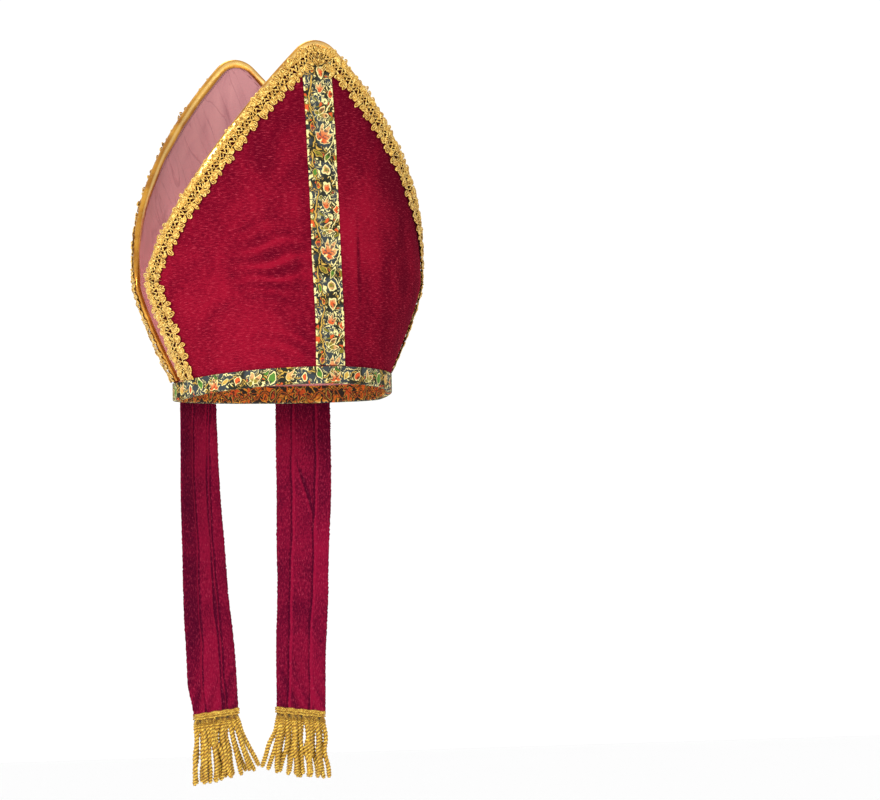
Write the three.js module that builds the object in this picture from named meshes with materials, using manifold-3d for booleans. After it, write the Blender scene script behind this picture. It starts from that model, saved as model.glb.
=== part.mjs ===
// A bishop's mitre. Two stiffened velvet panels, each lined, bound along its edge and trimmed with
// openwork lace, rise from a folded brocade band. A brocade stripe runs up the front panel, and two
// velvet lappets with brocade stripes and fringed ends hang from the back of the band.
// Millimetres, +Z up. The front faces -Y, and the origin is the middle of the head opening at the rim.
import * as THREE from "three";
import { mergeVertices } from "three/addons/utils/BufferGeometryUtils.js";
import Module from "manifold-3d";

const wasm = await Module();
wasm.setup();

// Form of the two panels
const RIM_HALF_WIDTH = 98.5;
const FRONT_RIM_DEPTH = 106; // from the seam plane, between the two panels, to the middle of the front
const BACK_RIM_DEPTH = 72;
const FRONT_TIP_DEPTH = 91;
const BACK_TIP_DEPTH = 82;
const PANEL_HEIGHT = 313;
const CORNER_HEIGHT = 101.5; // where a panel is widest
const CORNER_HALF_WIDTH = 135.5;
const RIM_GAP = 4; // from the seam plane to a panel's edge
const FRONT_CORNER_GAP = 14;
const BACK_CORNER_GAP = 10;
const TIP_RADIUS = 24;
const ARCH_TOP_PULL = 70; // how far the slope runs on from the tip before it bends down
const ARCH_FOOT_PULL = 70; // and how far it runs straight up from the corner
const FLARE_POWER = 1.25; // over 1, the wall swells between band and corner
const FRONT_ARCH = 9.5; // how far the middle of the front rim stands above its sides

// Cloths and trims
const VELVET = 2;
const LINING = 1;
const CLOTH_GAP = 0.3;
const BINDING = 0.8;
const BINDING_REACH = 6;
const LACE_WIDTH = 19;
const LACE_THICKNESS = 1;
const LACE_PERIOD = 12.5;
const LACE_LIFT = 0.9; // room for the binding's rounded edge under the lace
const BROCADE = 0.8;
const BROCADE_WIDTH = 30;
const FRONT_STRIPE_WIDTH = 28; // the same ribbon with its edges turned in
const STRIPE_TOP_DROP = 18; // how far under the tip the front stripe ends, below the lace
const BAND = 1;
const BAND_HEIGHT = 15; // the brocade is folded over the rim, half outside and half inside
const TRIM_FOOT = BAND_HEIGHT + CLOTH_GAP; // where the lace, binding and front stripe start

// Lappets and fringes
const LAPPET_WIDTH = 50;
const LAPPET = 2.8;
const LAPPET_TOP = 17; // above the rim
const LAPPET_DROP = 280.5; // below the rim
const LAPPET_SPREAD = 52; // from the middle to a lappet's centre line, at the band
const LEFT_END_SPREAD = 45; // and at its lower end
const RIGHT_END_SPREAD = 41.5;
const END_SLOPE = 0.11; // how much the lower end falls for each step away from the middle
const STRIPE_SHIFT = 3; // the lappet's stripe starts this much nearer the middle
const FRINGE_HEAD_HEIGHT = 8;
const FRINGE_HEAD_MARGIN = 0.8; // the head is wider and thicker than the lappet by this on each side
const FRINGE_LENGTH = 55;
const FRINGE_SPLAY = 16; // how far the inmost strand's end swings towards the middle
const STRAND_COUNT = 12;
const STRAND_DIAMETER = 3.7;
const STRAND_SIDES = 5;
const STRAND_STEPS = 4;

// Grid of the cloths
const TIP_ROWS = 2;
const ARCH_ROWS = 10;
const FLARE_ROWS = 4;
const INNER_COLUMNS = 10;
const LAPPET_ROWS = 10;
const LAPPET_STRIPE_COLUMNS = 4;

const SEAM_Y = (FRONT_RIM_DEPTH - BACK_RIM_DEPTH) / 2;
const LINING_OUT = -(VELVET + CLOTH_GAP); // places of the layers, out from the velvet's face
const INSIDE_OUT = LINING_OUT - LINING - CLOTH_GAP;
const LACE_OUT = CLOTH_GAP + BINDING + LACE_LIFT;
const LAPPET_OUT = CLOTH_GAP + BAND + CLOTH_GAP;
const LAPPET_STRIPE_OUT = LAPPET_OUT + LAPPET + CLOTH_GAP;

// Shallow folds in the velvet: place across and up as shares of the corner's half width and the height,
// reach across and up as shares of the same, and depth in shares of the cloth, inwards.
const FRONT_FOLDS = [
  { across: 0.36, up: 0.27, wide: 0.07, tall: 0.11, depth: 0.7 },
  { across: 0.72, up: 0.42, wide: 0.12, tall: 0.22, depth: 0.5 },
  { across: -0.5, up: 0.16, wide: 0.3, tall: 0.1, depth: 0.5 },
];
const BACK_FOLDS = [
  { across: -0.42, up: 0.17, wide: 0.07, tall: 0.13, depth: 0.8 },
  { across: -0.62, up: 0.2, wide: 0.07, tall: 0.12, depth: 0.7 },
  { across: -0.2, up: 0.45, wide: 0.1, tall: 0.3, depth: 0.5 },
];

// Lengthwise folds in a lappet: place across as a share of the half width, from the middle of the hat
// outwards, and how far the inner face stands back there as a share of the thickness.
const LAPPET_FOLDS = [
  { across: -1, back: 0.2 },
  { across: -0.68, back: 0 },
  { across: -0.4, back: 0.34 },
  { across: -0.1, back: 0 },
  { across: 0.2, back: 0.1 },
  { across: 0.44, back: 0.38 },
  { across: 0.7, back: 0 },
  { across: 1, back: 0.2 },
];

// How a strand swings on its way down, as shares of its length and of its swing. It starts in the head.
const STRAND_BENDS = [
  { along: -0.04, swung: 0 },
  { along: 0.25, swung: 0.1 },
  { along: 0.6, swung: 0.45 },
  { along: 1, swung: 1 },
];

// One repeat of the lace, along as a share of the period and in as a share of the width.
const LACE_EDGE = { out: 0.07, in: 0.8 }; // the plain braid between two petals
const LACE_OUTER_PETAL = [{ along: 0.5, in: -0.06 }];
const LACE_INNER_PETAL = [
  { along: 0.74, in: 1 },
  { along: 0.3, in: 0.96 },
];
const LACE_HOLE = [
  { along: 0.5, in: 0.32 },
  { along: 0.72, in: 0.6 },
  { along: 0.28, in: 0.6 },
];

const LEFT = { side: 1, endSpread: LEFT_END_SPREAD };
const RIGHT = { side: -1, endSpread: RIGHT_END_SPREAD };
const FRONT = {
  side: -1,
  arch: FRONT_ARCH,
  rimDepth: FRONT_RIM_DEPTH,
  tipDepth: FRONT_TIP_DEPTH,
  cornerGap: FRONT_CORNER_GAP,
  folds: FRONT_FOLDS,
};
const BACK = {
  side: 1,
  arch: 0,
  rimDepth: BACK_RIM_DEPTH,
  tipDepth: BACK_TIP_DEPTH,
  cornerGap: BACK_CORNER_GAP,
  folds: BACK_FOLDS,
};

const mix = (from, to, share) => from + (to - from) * share;
const smooth = (share) => share * share * (3 - 2 * share);
const clamp = (value, low, high) => Math.min(high, Math.max(low, value));

// The plan of a panel at a height is half an ellipse, bowHalfWidth across and bowDepth deep.
function bowHalfWidth(z) {
  const share = clamp((z - TRIM_FOOT) / (CORNER_HEIGHT - TRIM_FOOT), 0, 1);
  return mix(RIM_HALF_WIDTH, CORNER_HALF_WIDTH, 1 - (1 - share) ** FLARE_POWER);
}

function bowDepth(panel, z) {
  return mix(panel.rimDepth, panel.tipDepth, clamp(z / PANEL_HEIGHT, 0, 1));
}

function arcLength(angle, halfWidth, depth) {
  const steps = 24;
  let length = 0;
  for (let i = 0; i < steps; i++) {
    const at = ((i + 0.5) / steps) * angle;
    length += Math.hypot(halfWidth * Math.cos(at), depth * Math.sin(at)) * (angle / steps);
  }
  return length;
}

function angleAtArc(arc, halfWidth, depth) {
  let angle = (2 * arc) / (halfWidth + depth);
  for (let i = 0; i < 8; i++) {
    const speed = Math.hypot(halfWidth * Math.cos(angle), depth * Math.sin(angle));
    angle -= (arcLength(angle, halfWidth, depth) - arc) / speed;
  }
  return angle;
}

function foldDepth(panel, arc, z) {
  let depth = 0;
  for (const fold of panel.folds) {
    const across = (arc / CORNER_HALF_WIDTH - fold.across) / fold.wide;
    const up = (z / PANEL_HEIGHT - fold.up) / fold.tall;
    depth += fold.depth * VELVET * Math.exp(-across * across - up * up);
  }
  return depth;
}

// A point on a panel: arc along its plan from the middle, height z, and out from the velvet's face.
function onPanel(panel, arc, z, out) {
  const halfWidth = bowHalfWidth(z);
  const depth = bowDepth(panel, z);
  const angle = angleAtArc(arc, halfWidth, depth);
  const normal = new THREE.Vector2(Math.sin(angle) / halfWidth, Math.cos(angle) / depth).normalize();
  const lift = out - foldDepth(panel, arc, z);
  const arch = panel.arch * Math.cos(angle) * (1 - clamp(z / PANEL_HEIGHT, 0, 1));
  return new THREE.Vector3(
    halfWidth * Math.sin(angle) + lift * normal.x,
    SEAM_Y + panel.side * (depth * Math.cos(angle) + lift * normal.y),
    z + arch,
  );
}

// How far out a panel's side edge stands at a height under the corner.
function sideEdgeX(panel, z) {
  const gap = mix(RIM_GAP, panel.cornerGap, 1 - (1 - z / CORNER_HEIGHT) ** 2);
  return bowHalfWidth(z) * Math.sqrt(1 - (gap / bowDepth(panel, z)) ** 2);
}

// Half of a panel's outline, from just over the band to the tip: arc from the middle, and height.
function halfOutline(panel) {
  const points = [];
  const addPoint = (x, z) => {
    const halfWidth = bowHalfWidth(z);
    points.push(new THREE.Vector2(arcLength(Math.asin(x / halfWidth), halfWidth, bowDepth(panel, z)), z));
  };
  for (let i = 0; i <= FLARE_ROWS; i++) {
    const z = mix(TRIM_FOOT, CORNER_HEIGHT, i / FLARE_ROWS);
    addPoint(sideEdgeX(panel, z), z);
  }
  const corner = sideEdgeX(panel, CORNER_HEIGHT);
  const slope = Math.SQRT1_2; // the tip is a right angle
  const tipStart = new THREE.Vector2(TIP_RADIUS * slope, PANEL_HEIGHT - TIP_RADIUS * (1 - slope));
  const arch = new THREE.CubicBezierCurve(
    new THREE.Vector2(corner, CORNER_HEIGHT),
    new THREE.Vector2(corner, CORNER_HEIGHT + ARCH_FOOT_PULL),
    new THREE.Vector2(tipStart.x + ARCH_TOP_PULL * slope, tipStart.y - ARCH_TOP_PULL * slope),
    tipStart,
  );
  for (const p of arch.getSpacedPoints(ARCH_ROWS).slice(1)) addPoint(p.x, p.y);
  for (let i = 1; i <= TIP_ROWS; i++) {
    const turn = (Math.PI / 4) * (1 - i / TIP_ROWS);
    addPoint(TIP_RADIUS * Math.sin(turn), PANEL_HEIGHT - TIP_RADIUS * (1 - Math.cos(turn)));
  }
  return points;
}

// The whole outline over the band, from the panel's -X foot over the tip to its +X foot.
function wholeOutline(panel) {
  const half = halfOutline(panel);
  const mirrored = half.slice(0, -1).reverse();
  return half.map((p) => new THREE.Vector2(-p.x, p.y)).concat(mirrored);
}

// The place this far in from the outline's point i, square to the edge there, and level at its feet.
function insideOutline(path, i, inwards) {
  const before = path[Math.max(i - 1, 0)];
  const after = path[Math.min(i + 1, path.length - 1)];
  const run = after.clone().sub(before);
  if (i === 0 || i === path.length - 1) run.x = 0;
  run.normalize();
  return new THREE.Vector2(path[i].x + inwards * run.y, path[i].y - inwards * run.x);
}

// A panel as rows of columns. The outer columns lie on the edge and under the binding's inner edge.
function panelRows(panel) {
  const path = wholeOutline(panel);
  const last = path.length - 1;
  const rows = [];
  for (let i = 0; i <= last / 2; i++) {
    const left = insideOutline(path, i, BINDING_REACH);
    const right = insideOutline(path, last - i, BINDING_REACH);
    const row = [path[i]];
    for (let k = 0; k <= INNER_COLUMNS; k++) row.push(left.clone().lerp(right, k / INNER_COLUMNS));
    row.push(path[last - i]);
    rows.push(row);
  }
  const footX = sideEdgeX(panel, 0);
  const footArc = arcLength(Math.asin(footX / RIM_HALF_WIDTH), RIM_HALF_WIDTH, panel.rimDepth);
  const foot = rows[0].map((p) => new THREE.Vector2((p.x * footArc) / path[last].x, 0));
  return [foot, ...rows];
}

// Turns every vertex of a closed geometry into a new place, and merges the corners that meet.
function reshape(geometry, place, turnOver = false) {
  const flat = geometry.index ? geometry.toNonIndexed() : geometry.clone();
  const bare = new THREE.BufferGeometry().setAttribute("position", flat.getAttribute("position"));
  const made = mergeVertices(bare, 1e-4);
  const position = made.getAttribute("position");
  for (let i = 0; i < position.count; i++) {
    const p = place(position.getX(i), position.getY(i), position.getZ(i));
    position.setXYZ(i, p.x, p.y, p.z);
  }
  if (turnOver) {
    const index = made.index.array;
    for (let i = 0; i < index.length; i += 3) [index[i], index[i + 1]] = [index[i + 1], index[i]];
  }
  made.computeVertexNormals();
  return made;
}

// A flat net of triangles given a thickness: both faces, and a wall on each edge that one face uses.
// Corners at the same place become one, and a triangle that closes up is dropped.
function slab(net, place, turnOver) {
  const points = [];
  const known = new Map();
  const numberOf = (p) => {
    const key = `${p.x.toFixed(3)} ${p.y.toFixed(3)}`;
    if (!known.has(key)) known.set(key, points.push(p) - 1);
    return known.get(key);
  };
  const numbered = net.map((corners) => corners.map(numberOf));
  const triangles = numbered.filter(([a, b, c]) => a !== b && b !== c && c !== a);
  const edges = new Set(triangles.flatMap(([a, b, c]) => [`${a} ${b}`, `${b} ${c}`, `${c} ${a}`]));
  const lift = points.length;
  const index = [];
  for (const [a, b, c] of triangles) index.push(a + lift, b + lift, c + lift, c, b, a);
  for (const edge of edges) {
    const [a, b] = edge.split(" ").map(Number);
    if (!edges.has(`${b} ${a}`)) index.push(a, b, b + lift, a, b + lift, a + lift);
  }
  if (turnOver) {
    for (let i = 0; i < index.length; i += 3) [index[i], index[i + 1]] = [index[i + 1], index[i]];
  }
  const position = [0, 1].flatMap((level) => points.flatMap((p) => place(p.x, p.y, level).toArray()));
  const made = new THREE.BufferGeometry();
  made.setAttribute("position", new THREE.Float32BufferAttribute(position, 3));
  made.setIndex(index);
  made.computeVertexNormals();
  return made;
}

// The net of a grid of points, row by row. Its left and right halves are cut as mirror images.
function gridNet(rows) {
  const net = [];
  for (let i = 1; i < rows.length; i++) {
    for (let k = 1; k < rows[i].length; k++) {
      const [a, b, c, d] = [rows[i - 1][k - 1], rows[i - 1][k], rows[i][k], rows[i][k - 1]];
      if (k < rows[i].length / 2) net.push([a, b, d], [b, c, d]);
      else net.push([a, b, c], [a, c, d]);
    }
  }
  return net;
}

// The net of a sheet whose columns and rows are counted from 0.
function countedNet(columns, rows) {
  const counted = Array.from({ length: rows + 1 }, (_, row) => (
    Array.from({ length: columns + 1 }, (_, column) => new THREE.Vector2(column, row))
  ));
  return gridNet(counted);
}

// A cloth the size of a panel, between two distances out from the velvet's face.
function panelCloth(panel, inner, outer) {
  const place = (arc, z, level) => onPanel(panel, arc, z, mix(inner, outer, level));
  return slab(gridNet(panelRows(panel)), place, panel.side > 0);
}

// A strip with the same section at every station, or a closed ring. acrossFrom tells, for the face
// between station i - 1 and i and two corners of the section, whether it is cut from the first corner.
function loft(section, count, closed, place, acrossFrom, turnOver) {
  const size = section.length;
  const position = [];
  for (let i = 0; i < count; i++) position.push(...section.flatMap((corner) => place(i, corner).toArray()));
  const triangles = [];
  for (let i = 1; i < count + (closed ? 1 : 0); i++) {
    for (let k = 0; k < size; k++) {
      const next = (k + 1) % size;
      const [before, after] = [(i - 1) * size, (i % count) * size];
      const [a, b, c, d] = [before + k, before + next, after + next, after + k];
      if (acrossFrom(i, section[k], section[next])) triangles.push([a, b, c], [a, c, d]);
      else triangles.push([a, b, d], [b, c, d]);
    }
  }
  const end = (count - 1) * size;
  for (const [a, b, c] of closed ? [] : THREE.ShapeUtils.triangulateShape(section, [])) {
    triangles.push([a, c, b], [a + end, b + end, c + end]);
  }
  const facing = turnOver ? triangles.map(([a, b, c]) => [b, a, c]) : triangles;
  const made = new THREE.BufferGeometry();
  made.setAttribute("position", new THREE.Float32BufferAttribute(position, 3));
  made.setIndex(facing.flat());
  made.computeVertexNormals();
  return made;
}

// The gold binding: a folded strip whose two legs hold the panel's edge between them. Its faces are
// cut the same way as the panel's, so that they lie evenly on them.
function panelBinding(panel) {
  const path = wholeOutline(panel);
  const section = [
    [BINDING_REACH, CLOTH_GAP + BINDING],
    [-CLOTH_GAP - BINDING, CLOTH_GAP + BINDING],
    [-CLOTH_GAP - BINDING, INSIDE_OUT - BINDING],
    [BINDING_REACH, INSIDE_OUT - BINDING],
    [BINDING_REACH, INSIDE_OUT],
    [-CLOTH_GAP, INSIDE_OUT],
    [-CLOTH_GAP, CLOTH_GAP],
    [BINDING_REACH, CLOTH_GAP],
  ].map(([inwards, out]) => new THREE.Vector2(inwards, out));
  const place = (i, corner) => {
    const at = insideOutline(path, i, corner.x);
    return onPanel(panel, at.x, at.y, corner.y);
  };
  const acrossFrom = (i, from, to) => (from.x > to.x) === (i < path.length / 2);
  return loft(section, path.length, false, place, acrossFrom, panel.side < 0);
}

// The lace: one repeat is cut out flat, with its hole, and set beside itself along the panel's edge.
function panelLace(panel) {
  const outline = wholeOutline(panel).map((p) => new THREE.Vector3(p.x, p.y, 0));
  const path = new THREE.CatmullRomCurve3(outline, false, "centripetal");
  path.arcLengthDivisions = 600;
  const count = Math.round(path.getLength() / LACE_PERIOD);
  const point = ({ along, in: inwards }) => new THREE.Vector2(along, inwards);
  const contour = [
    { along: 0, in: LACE_EDGE.in },
    { along: 0, in: LACE_EDGE.out },
    ...LACE_OUTER_PETAL,
    { along: 1, in: LACE_EDGE.out },
    { along: 1, in: LACE_EDGE.in },
    ...LACE_INNER_PETAL,
  ].map(point);
  const hole = LACE_HOLE.map(point).reverse();
  const corners = contour.concat(hole);
  const repeat = THREE.ShapeUtils.triangulateShape(contour, [hole]);
  const net = [];
  for (let i = 0; i < count; i++) {
    for (const cut of repeat) net.push(cut.map((k) => new THREE.Vector2(corners[k].x + i, corners[k].y)));
  }
  const place = (along, inwards, level) => {
    const at = path.getPointAt(along / count);
    const run = path.getTangentAt(along / count);
    const reach = inwards * LACE_WIDTH;
    return onPanel(panel, at.x + reach * run.y, at.y - reach * run.x, LACE_OUT + level * LACE_THICKNESS);
  };
  return slab(net, place, panel.side < 0);
}

// The stripe up the middle of the front, from the band to just under the lace at the tip.
function frontStripe() {
  const top = PANEL_HEIGHT - STRIPE_TOP_DROP;
  const rows = FLARE_ROWS + ARCH_ROWS;
  const place = (column, row, level) => {
    const arc = (column - 1) * (FRONT_STRIPE_WIDTH / 2);
    return onPanel(FRONT, arc, mix(TRIM_FOOT, top, row / rows), CLOTH_GAP + level * BROCADE);
  };
  return slab(countedNet(2, rows), place, false);
}

// The band: brocade folded over the rim, round the whole head opening, on the panels' own columns.
function brimBand() {
  const section = [
    [CLOTH_GAP + BAND, -CLOTH_GAP - BAND],
    [CLOTH_GAP + BAND, BAND_HEIGHT],
    [CLOTH_GAP, BAND_HEIGHT],
    [CLOTH_GAP, -CLOTH_GAP],
    [INSIDE_OUT, -CLOTH_GAP],
    [INSIDE_OUT, BAND_HEIGHT],
    [INSIDE_OUT - BAND, BAND_HEIGHT],
    [INSIDE_OUT - BAND, -CLOTH_GAP - BAND],
  ].map(([out, z]) => new THREE.Vector2(out, z));
  const stations = [];
  for (const panel of [FRONT, BACK]) {
    const [foot, over] = panelRows(panel);
    const places = foot.map((p, k) => ({ panel, foot: p.x, over: over[k].x }));
    stations.push(...(panel.side < 0 ? places : places.reverse()));
  }
  const place = (i, corner) => {
    const { panel, foot, over } = stations[i];
    const z = clamp(corner.y, 0, BAND_HEIGHT);
    const held = onPanel(panel, mix(foot, over, z / TRIM_FOOT), z, corner.x);
    return held.setZ(held.z + corner.y - z);
  };
  const perPanel = stations.length / 2;
  const acrossFrom = (i, from, to) => (from.y < to.y) === (i % perPanel > perPanel / 2);
  return loft(section, stations.length, true, place, acrossFrom, true);
}

// A point on a hanging lappet: s across from its centre line, away from the middle of the hat, height z,
// and out from the velvet's face. It follows the band at the top and turns flat on its way down.
function onLappet(hand, s, z, out) {
  const start = arcAtX(BACK, LAPPET_SPREAD);
  const held = onPanel(BACK, start + s, Math.max(z, 0), out);
  const middle = onPanel(BACK, start, 0, out);
  const share = clamp(-z / LAPPET_DROP, 0, 1);
  const spread = mix(LAPPET_SPREAD, hand.endSpread, share);
  const hanging = new THREE.Vector3(spread + s, middle.y, z - END_SLOPE * s * share ** 2);
  held.z = z;
  const point = held.lerp(hanging, smooth(share));
  point.x *= hand.side;
  return point;
}

function arcAtX(panel, x) {
  return arcLength(Math.asin(x / RIM_HALF_WIDTH), RIM_HALF_WIDTH, panel.rimDepth);
}

function lappet(hand) {
  const place = (column, row, level) => {
    const fold = LAPPET_FOLDS[column];
    const z = mix(-LAPPET_DROP, LAPPET_TOP, row / LAPPET_ROWS);
    const loose = smooth(clamp(-z / LAPPET_DROP, 0, 0.1) / 0.1); // flat where it is sewn to the band
    const inner = fold.back * LAPPET * loose;
    return onLappet(hand, (fold.across * LAPPET_WIDTH) / 2, z, LAPPET_OUT + mix(inner, LAPPET, level));
  };
  return slab(countedNet(LAPPET_FOLDS.length - 1, LAPPET_ROWS), place, hand.side > 0);
}

function lappetStripe(hand) {
  const place = (column, row, level) => {
    const z = mix(-LAPPET_DROP, LAPPET_TOP, row / LAPPET_ROWS);
    const shift = STRIPE_SHIFT * (1 - clamp(-z / LAPPET_DROP, 0, 1));
    const across = (column / LAPPET_STRIPE_COLUMNS - 0.5) * BROCADE_WIDTH;
    return onLappet(hand, across - shift, z, LAPPET_STRIPE_OUT + level * BROCADE);
  };
  return slab(countedNet(LAPPET_STRIPE_COLUMNS, LAPPET_ROWS), place, hand.side > 0);
}

function solidOf(geometry) {
  const flat = geometry.index ? geometry.toNonIndexed() : geometry;
  const bare = new THREE.BufferGeometry().setAttribute("position", flat.getAttribute("position"));
  const made = mergeVertices(bare, 1e-4);
  return new wasm.Manifold(new wasm.Mesh({
    numProp: 3,
    vertProperties: made.getAttribute("position").array,
    triVerts: new Uint32Array(made.index.array),
  }));
}

function geometryOf(solid) {
  const mesh = solid.getMesh();
  const made = new THREE.BufferGeometry();
  made.setAttribute("position", new THREE.Float32BufferAttribute(mesh.vertProperties, 3));
  made.setIndex(new THREE.BufferAttribute(mesh.triVerts, 1));
  made.computeVertexNormals();
  return made;
}

// The fringe: a woven head under the lappet's end, with a row of corded strands fused to it.
function fringe(hand) {
  const inner = LAPPET_OUT - FRINGE_HEAD_MARGIN;
  const outer = LAPPET_STRIPE_OUT + BROCADE + FRINGE_HEAD_MARGIN;
  const width = LAPPET_WIDTH + 2 * FRINGE_HEAD_MARGIN;
  const box = new THREE.BoxGeometry(width, 1, 1);
  const place = (x, y, w) => {
    const point = onLappet(hand, x, -LAPPET_DROP, mix(inner, outer, w + 0.5));
    return point.setZ(point.z - CLOTH_GAP - FRINGE_HEAD_HEIGHT * (0.5 - y));
  };
  let solid = solidOf(reshape(box, place, hand.side > 0));

  const corners = [];
  for (let i = 0; i < STRAND_SIDES; i++) {
    const turn = (i / STRAND_SIDES) * 2 * Math.PI;
    corners.push(new THREE.Vector2(Math.cos(turn), Math.sin(turn)).multiplyScalar(STRAND_DIAMETER / 2));
  }
  const round = new THREE.Shape(corners);
  for (let i = 0; i < STRAND_COUNT; i++) {
    const share = (i + 0.5) / STRAND_COUNT; // from the middle of the hat outwards
    const start = onLappet(hand, mix(-width / 2, width / 2, share), -LAPPET_DROP, (inner + outer) / 2);
    const foot = start.z - CLOTH_GAP - FRINGE_HEAD_HEIGHT;
    const swing = -hand.side * FRINGE_SPLAY * (1 - share) ** 2;
    const down = STRAND_BENDS.map(({ along, swung }) => (
      new THREE.Vector3(start.x + swing * swung, start.y, foot - FRINGE_LENGTH * along)
    ));
    const path = new THREE.CatmullRomCurve3(down);
    const strand = new THREE.ExtrudeGeometry(round, { extrudePath: path, steps: STRAND_STEPS });
    solid = solid.add(solidOf(strand));
  }
  return geometryOf(solid);
}

const velvet = new THREE.MeshStandardMaterial({ color: 0x8e1230, roughness: 0.9, metalness: 0 });
const satin = new THREE.MeshStandardMaterial({ color: 0xc07c86, roughness: 0.4, metalness: 0 });
const goldFoil = new THREE.MeshStandardMaterial({ color: 0xc8932c, roughness: 0.35, metalness: 0.8 });
const goldLace = new THREE.MeshStandardMaterial({ color: 0xc99a3e, roughness: 0.55, metalness: 0.5 });
const brocade = new THREE.MeshStandardMaterial({ color: 0x5c5740, roughness: 0.6, metalness: 0.1 });
const goldCord = new THREE.MeshStandardMaterial({ color: 0xd3a02c, roughness: 0.6, metalness: 0.3 });

const mitre = new THREE.Group();

function add(name, geometry, material) {
  const mesh = new THREE.Mesh(geometry, material);
  mesh.name = name;
  mitre.add(mesh);
}

for (const [word, panel] of [["front", FRONT], ["back", BACK]]) {
  add(`${word}_panel`, panelCloth(panel, -VELVET, 0), velvet);
  add(`${word}_lining`, panelCloth(panel, LINING_OUT - LINING, LINING_OUT), satin);
  add(`${word}_binding`, panelBinding(panel), goldFoil);
  add(`${word}_lace`, panelLace(panel), goldLace);
}
add("front_stripe", frontStripe(), brocade);
add("brim_band", brimBand(), brocade);
for (const [word, hand] of [["left", LEFT], ["right", RIGHT]]) {
  add(`${word}_lappet`, lappet(hand), velvet);
  add(`${word}_lappet_stripe`, lappetStripe(hand), brocade);
  add(`${word}_fringe`, fringe(hand), goldCord);
}

export default mitre;
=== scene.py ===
"""A bishop's mitre: two velvet panels with gold lace on a brocade band, and two fringed lappets."""
import math

import bpy
import numpy as np
from mathutils import Matrix, Vector


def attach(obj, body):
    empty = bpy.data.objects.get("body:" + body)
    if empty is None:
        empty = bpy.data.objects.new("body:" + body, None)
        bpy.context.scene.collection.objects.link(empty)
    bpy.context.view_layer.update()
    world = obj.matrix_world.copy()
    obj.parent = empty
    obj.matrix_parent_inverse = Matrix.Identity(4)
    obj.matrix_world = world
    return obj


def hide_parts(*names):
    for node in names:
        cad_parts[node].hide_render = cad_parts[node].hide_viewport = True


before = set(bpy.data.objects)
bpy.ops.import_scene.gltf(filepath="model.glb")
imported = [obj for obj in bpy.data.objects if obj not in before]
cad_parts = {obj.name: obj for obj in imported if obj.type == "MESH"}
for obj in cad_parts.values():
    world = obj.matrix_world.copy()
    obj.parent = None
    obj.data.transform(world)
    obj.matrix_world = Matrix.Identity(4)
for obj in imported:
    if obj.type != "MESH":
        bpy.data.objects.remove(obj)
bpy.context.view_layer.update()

# Sizes of the mitre, in metres, as its solids have them
RIM_HALF_WIDTH = 0.0985
RIM_DEPTH = {"front": 0.106, "back": 0.072}
TIP_DEPTH = {"front": 0.091, "back": 0.082}
CORNER_GAP = {"front": 0.014, "back": 0.010}
FACING = {"front": -1, "back": 1}
PANEL_HEIGHT = 0.313
CORNER_HEIGHT = 0.1015
CORNER_HALF_WIDTH = 0.1355
RIM_GAP = 0.004
TIP_RADIUS = 0.024
ARCH_PULL = 0.070
FLARE_POWER = 1.25
RIM_ARCH = {"front": 0.0095, "back": 0.0}
SEAM_Y = (RIM_DEPTH["front"] - RIM_DEPTH["back"]) / 2
BAND_HEIGHT = 0.015
TRIM_FOOT = 0.0153
INSIDE_OUT = -0.0036
LAPPET_OUT = 0.0016
LAPPET_THICKNESS = 0.0028
LAPPET_WIDTH = 0.050
LAPPET_TOP = 0.017
LAPPET_DROP = 0.2805
LAPPET_SPREAD = 0.052
END_SPREAD = {"left": 0.045, "right": 0.0415}
END_SLOPE = 0.11
HAND = {"left": 1, "right": -1}
FRINGE_HEAD = 0.008
FRINGE_WIDTH = LAPPET_WIDTH - 0.0008
RIBBON_WIDTH = 0.030
RIBBON_SHIFT = 0.003  # how much nearer the middle a lappet's ribbon starts
FRONT_STRIPE_WIDTH = 0.028
STRIPE_TOP_DROP = 0.018
STRIPE_LENGTH = 0.2757
LACE_PERIOD = 0.0125

# Sizes that only the dressed pieces have
VELVET_THICKNESS = 0.0011
SATIN_THICKNESS = 0.0008
SATIN_OUT = -0.0024
RIBBON_THICKNESS = 0.0006
RIBBON_OUT = 0.0011  # from the cloth that it is sewn to
BINDING_THICKNESS = 0.0005
BINDING_WIDTH = 0.016  # all round the panel's edge
BINDING_REACH = 0.0055
BINDING_FOOT = 0.0165
BAND_THICKNESS = 0.0007
BAND_SIDE = 0.0145  # the straight part of the folded band, inside and outside
BAND_TURN = 0.0056  # and its turn under the rim
BAND_WIDTH = 2 * BAND_SIDE + BAND_TURN
BAND_ROUND = 0.589
LACE_FOOT = 0.0156
LACE_MIDDLE = 0.009  # in from the panel's edge
GATHERED = {"left": 0.0, "right": 0.09}  # how much narrower a lappet's end is
GATHERED_HEIGHT = 0.032
REPEAT = 0.105  # of the brocade's pattern
PIXEL = 0.0009  # what one pixel of the photo measures on the hat
PHOTO_SIZE = (880, 800)
ORIGIN_IN_PHOTO = (279.47, 398.9)
FLOOR_HEIGHT = -0.95

# Broad folds of the velvet: place across and up, reach across and up, and depth
FOLDS = {
    "front": [(0.36, 0.27, 0.07, 0.11, 0.0014), (0.72, 0.42, 0.12, 0.22, 0.001),
              (-0.5, 0.16, 0.3, 0.1, 0.001)],
    "back": [(-0.42, 0.17, 0.07, 0.13, 0.0016), (-0.62, 0.2, 0.07, 0.12, 0.0014),
             (-0.2, 0.45, 0.1, 0.3, 0.001)],
}


# The hat's form


def mix(a, b, share):
    return a + (b - a) * share


def smooth(share):
    share = np.clip(share, 0, 1)
    return share * share * (3 - 2 * share)


def bell(value, middle, reach):
    return np.exp(-(((value - middle) / reach) ** 2))


def turned(degrees):
    return math.cos(math.radians(degrees)), math.sin(math.radians(degrees))


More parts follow.
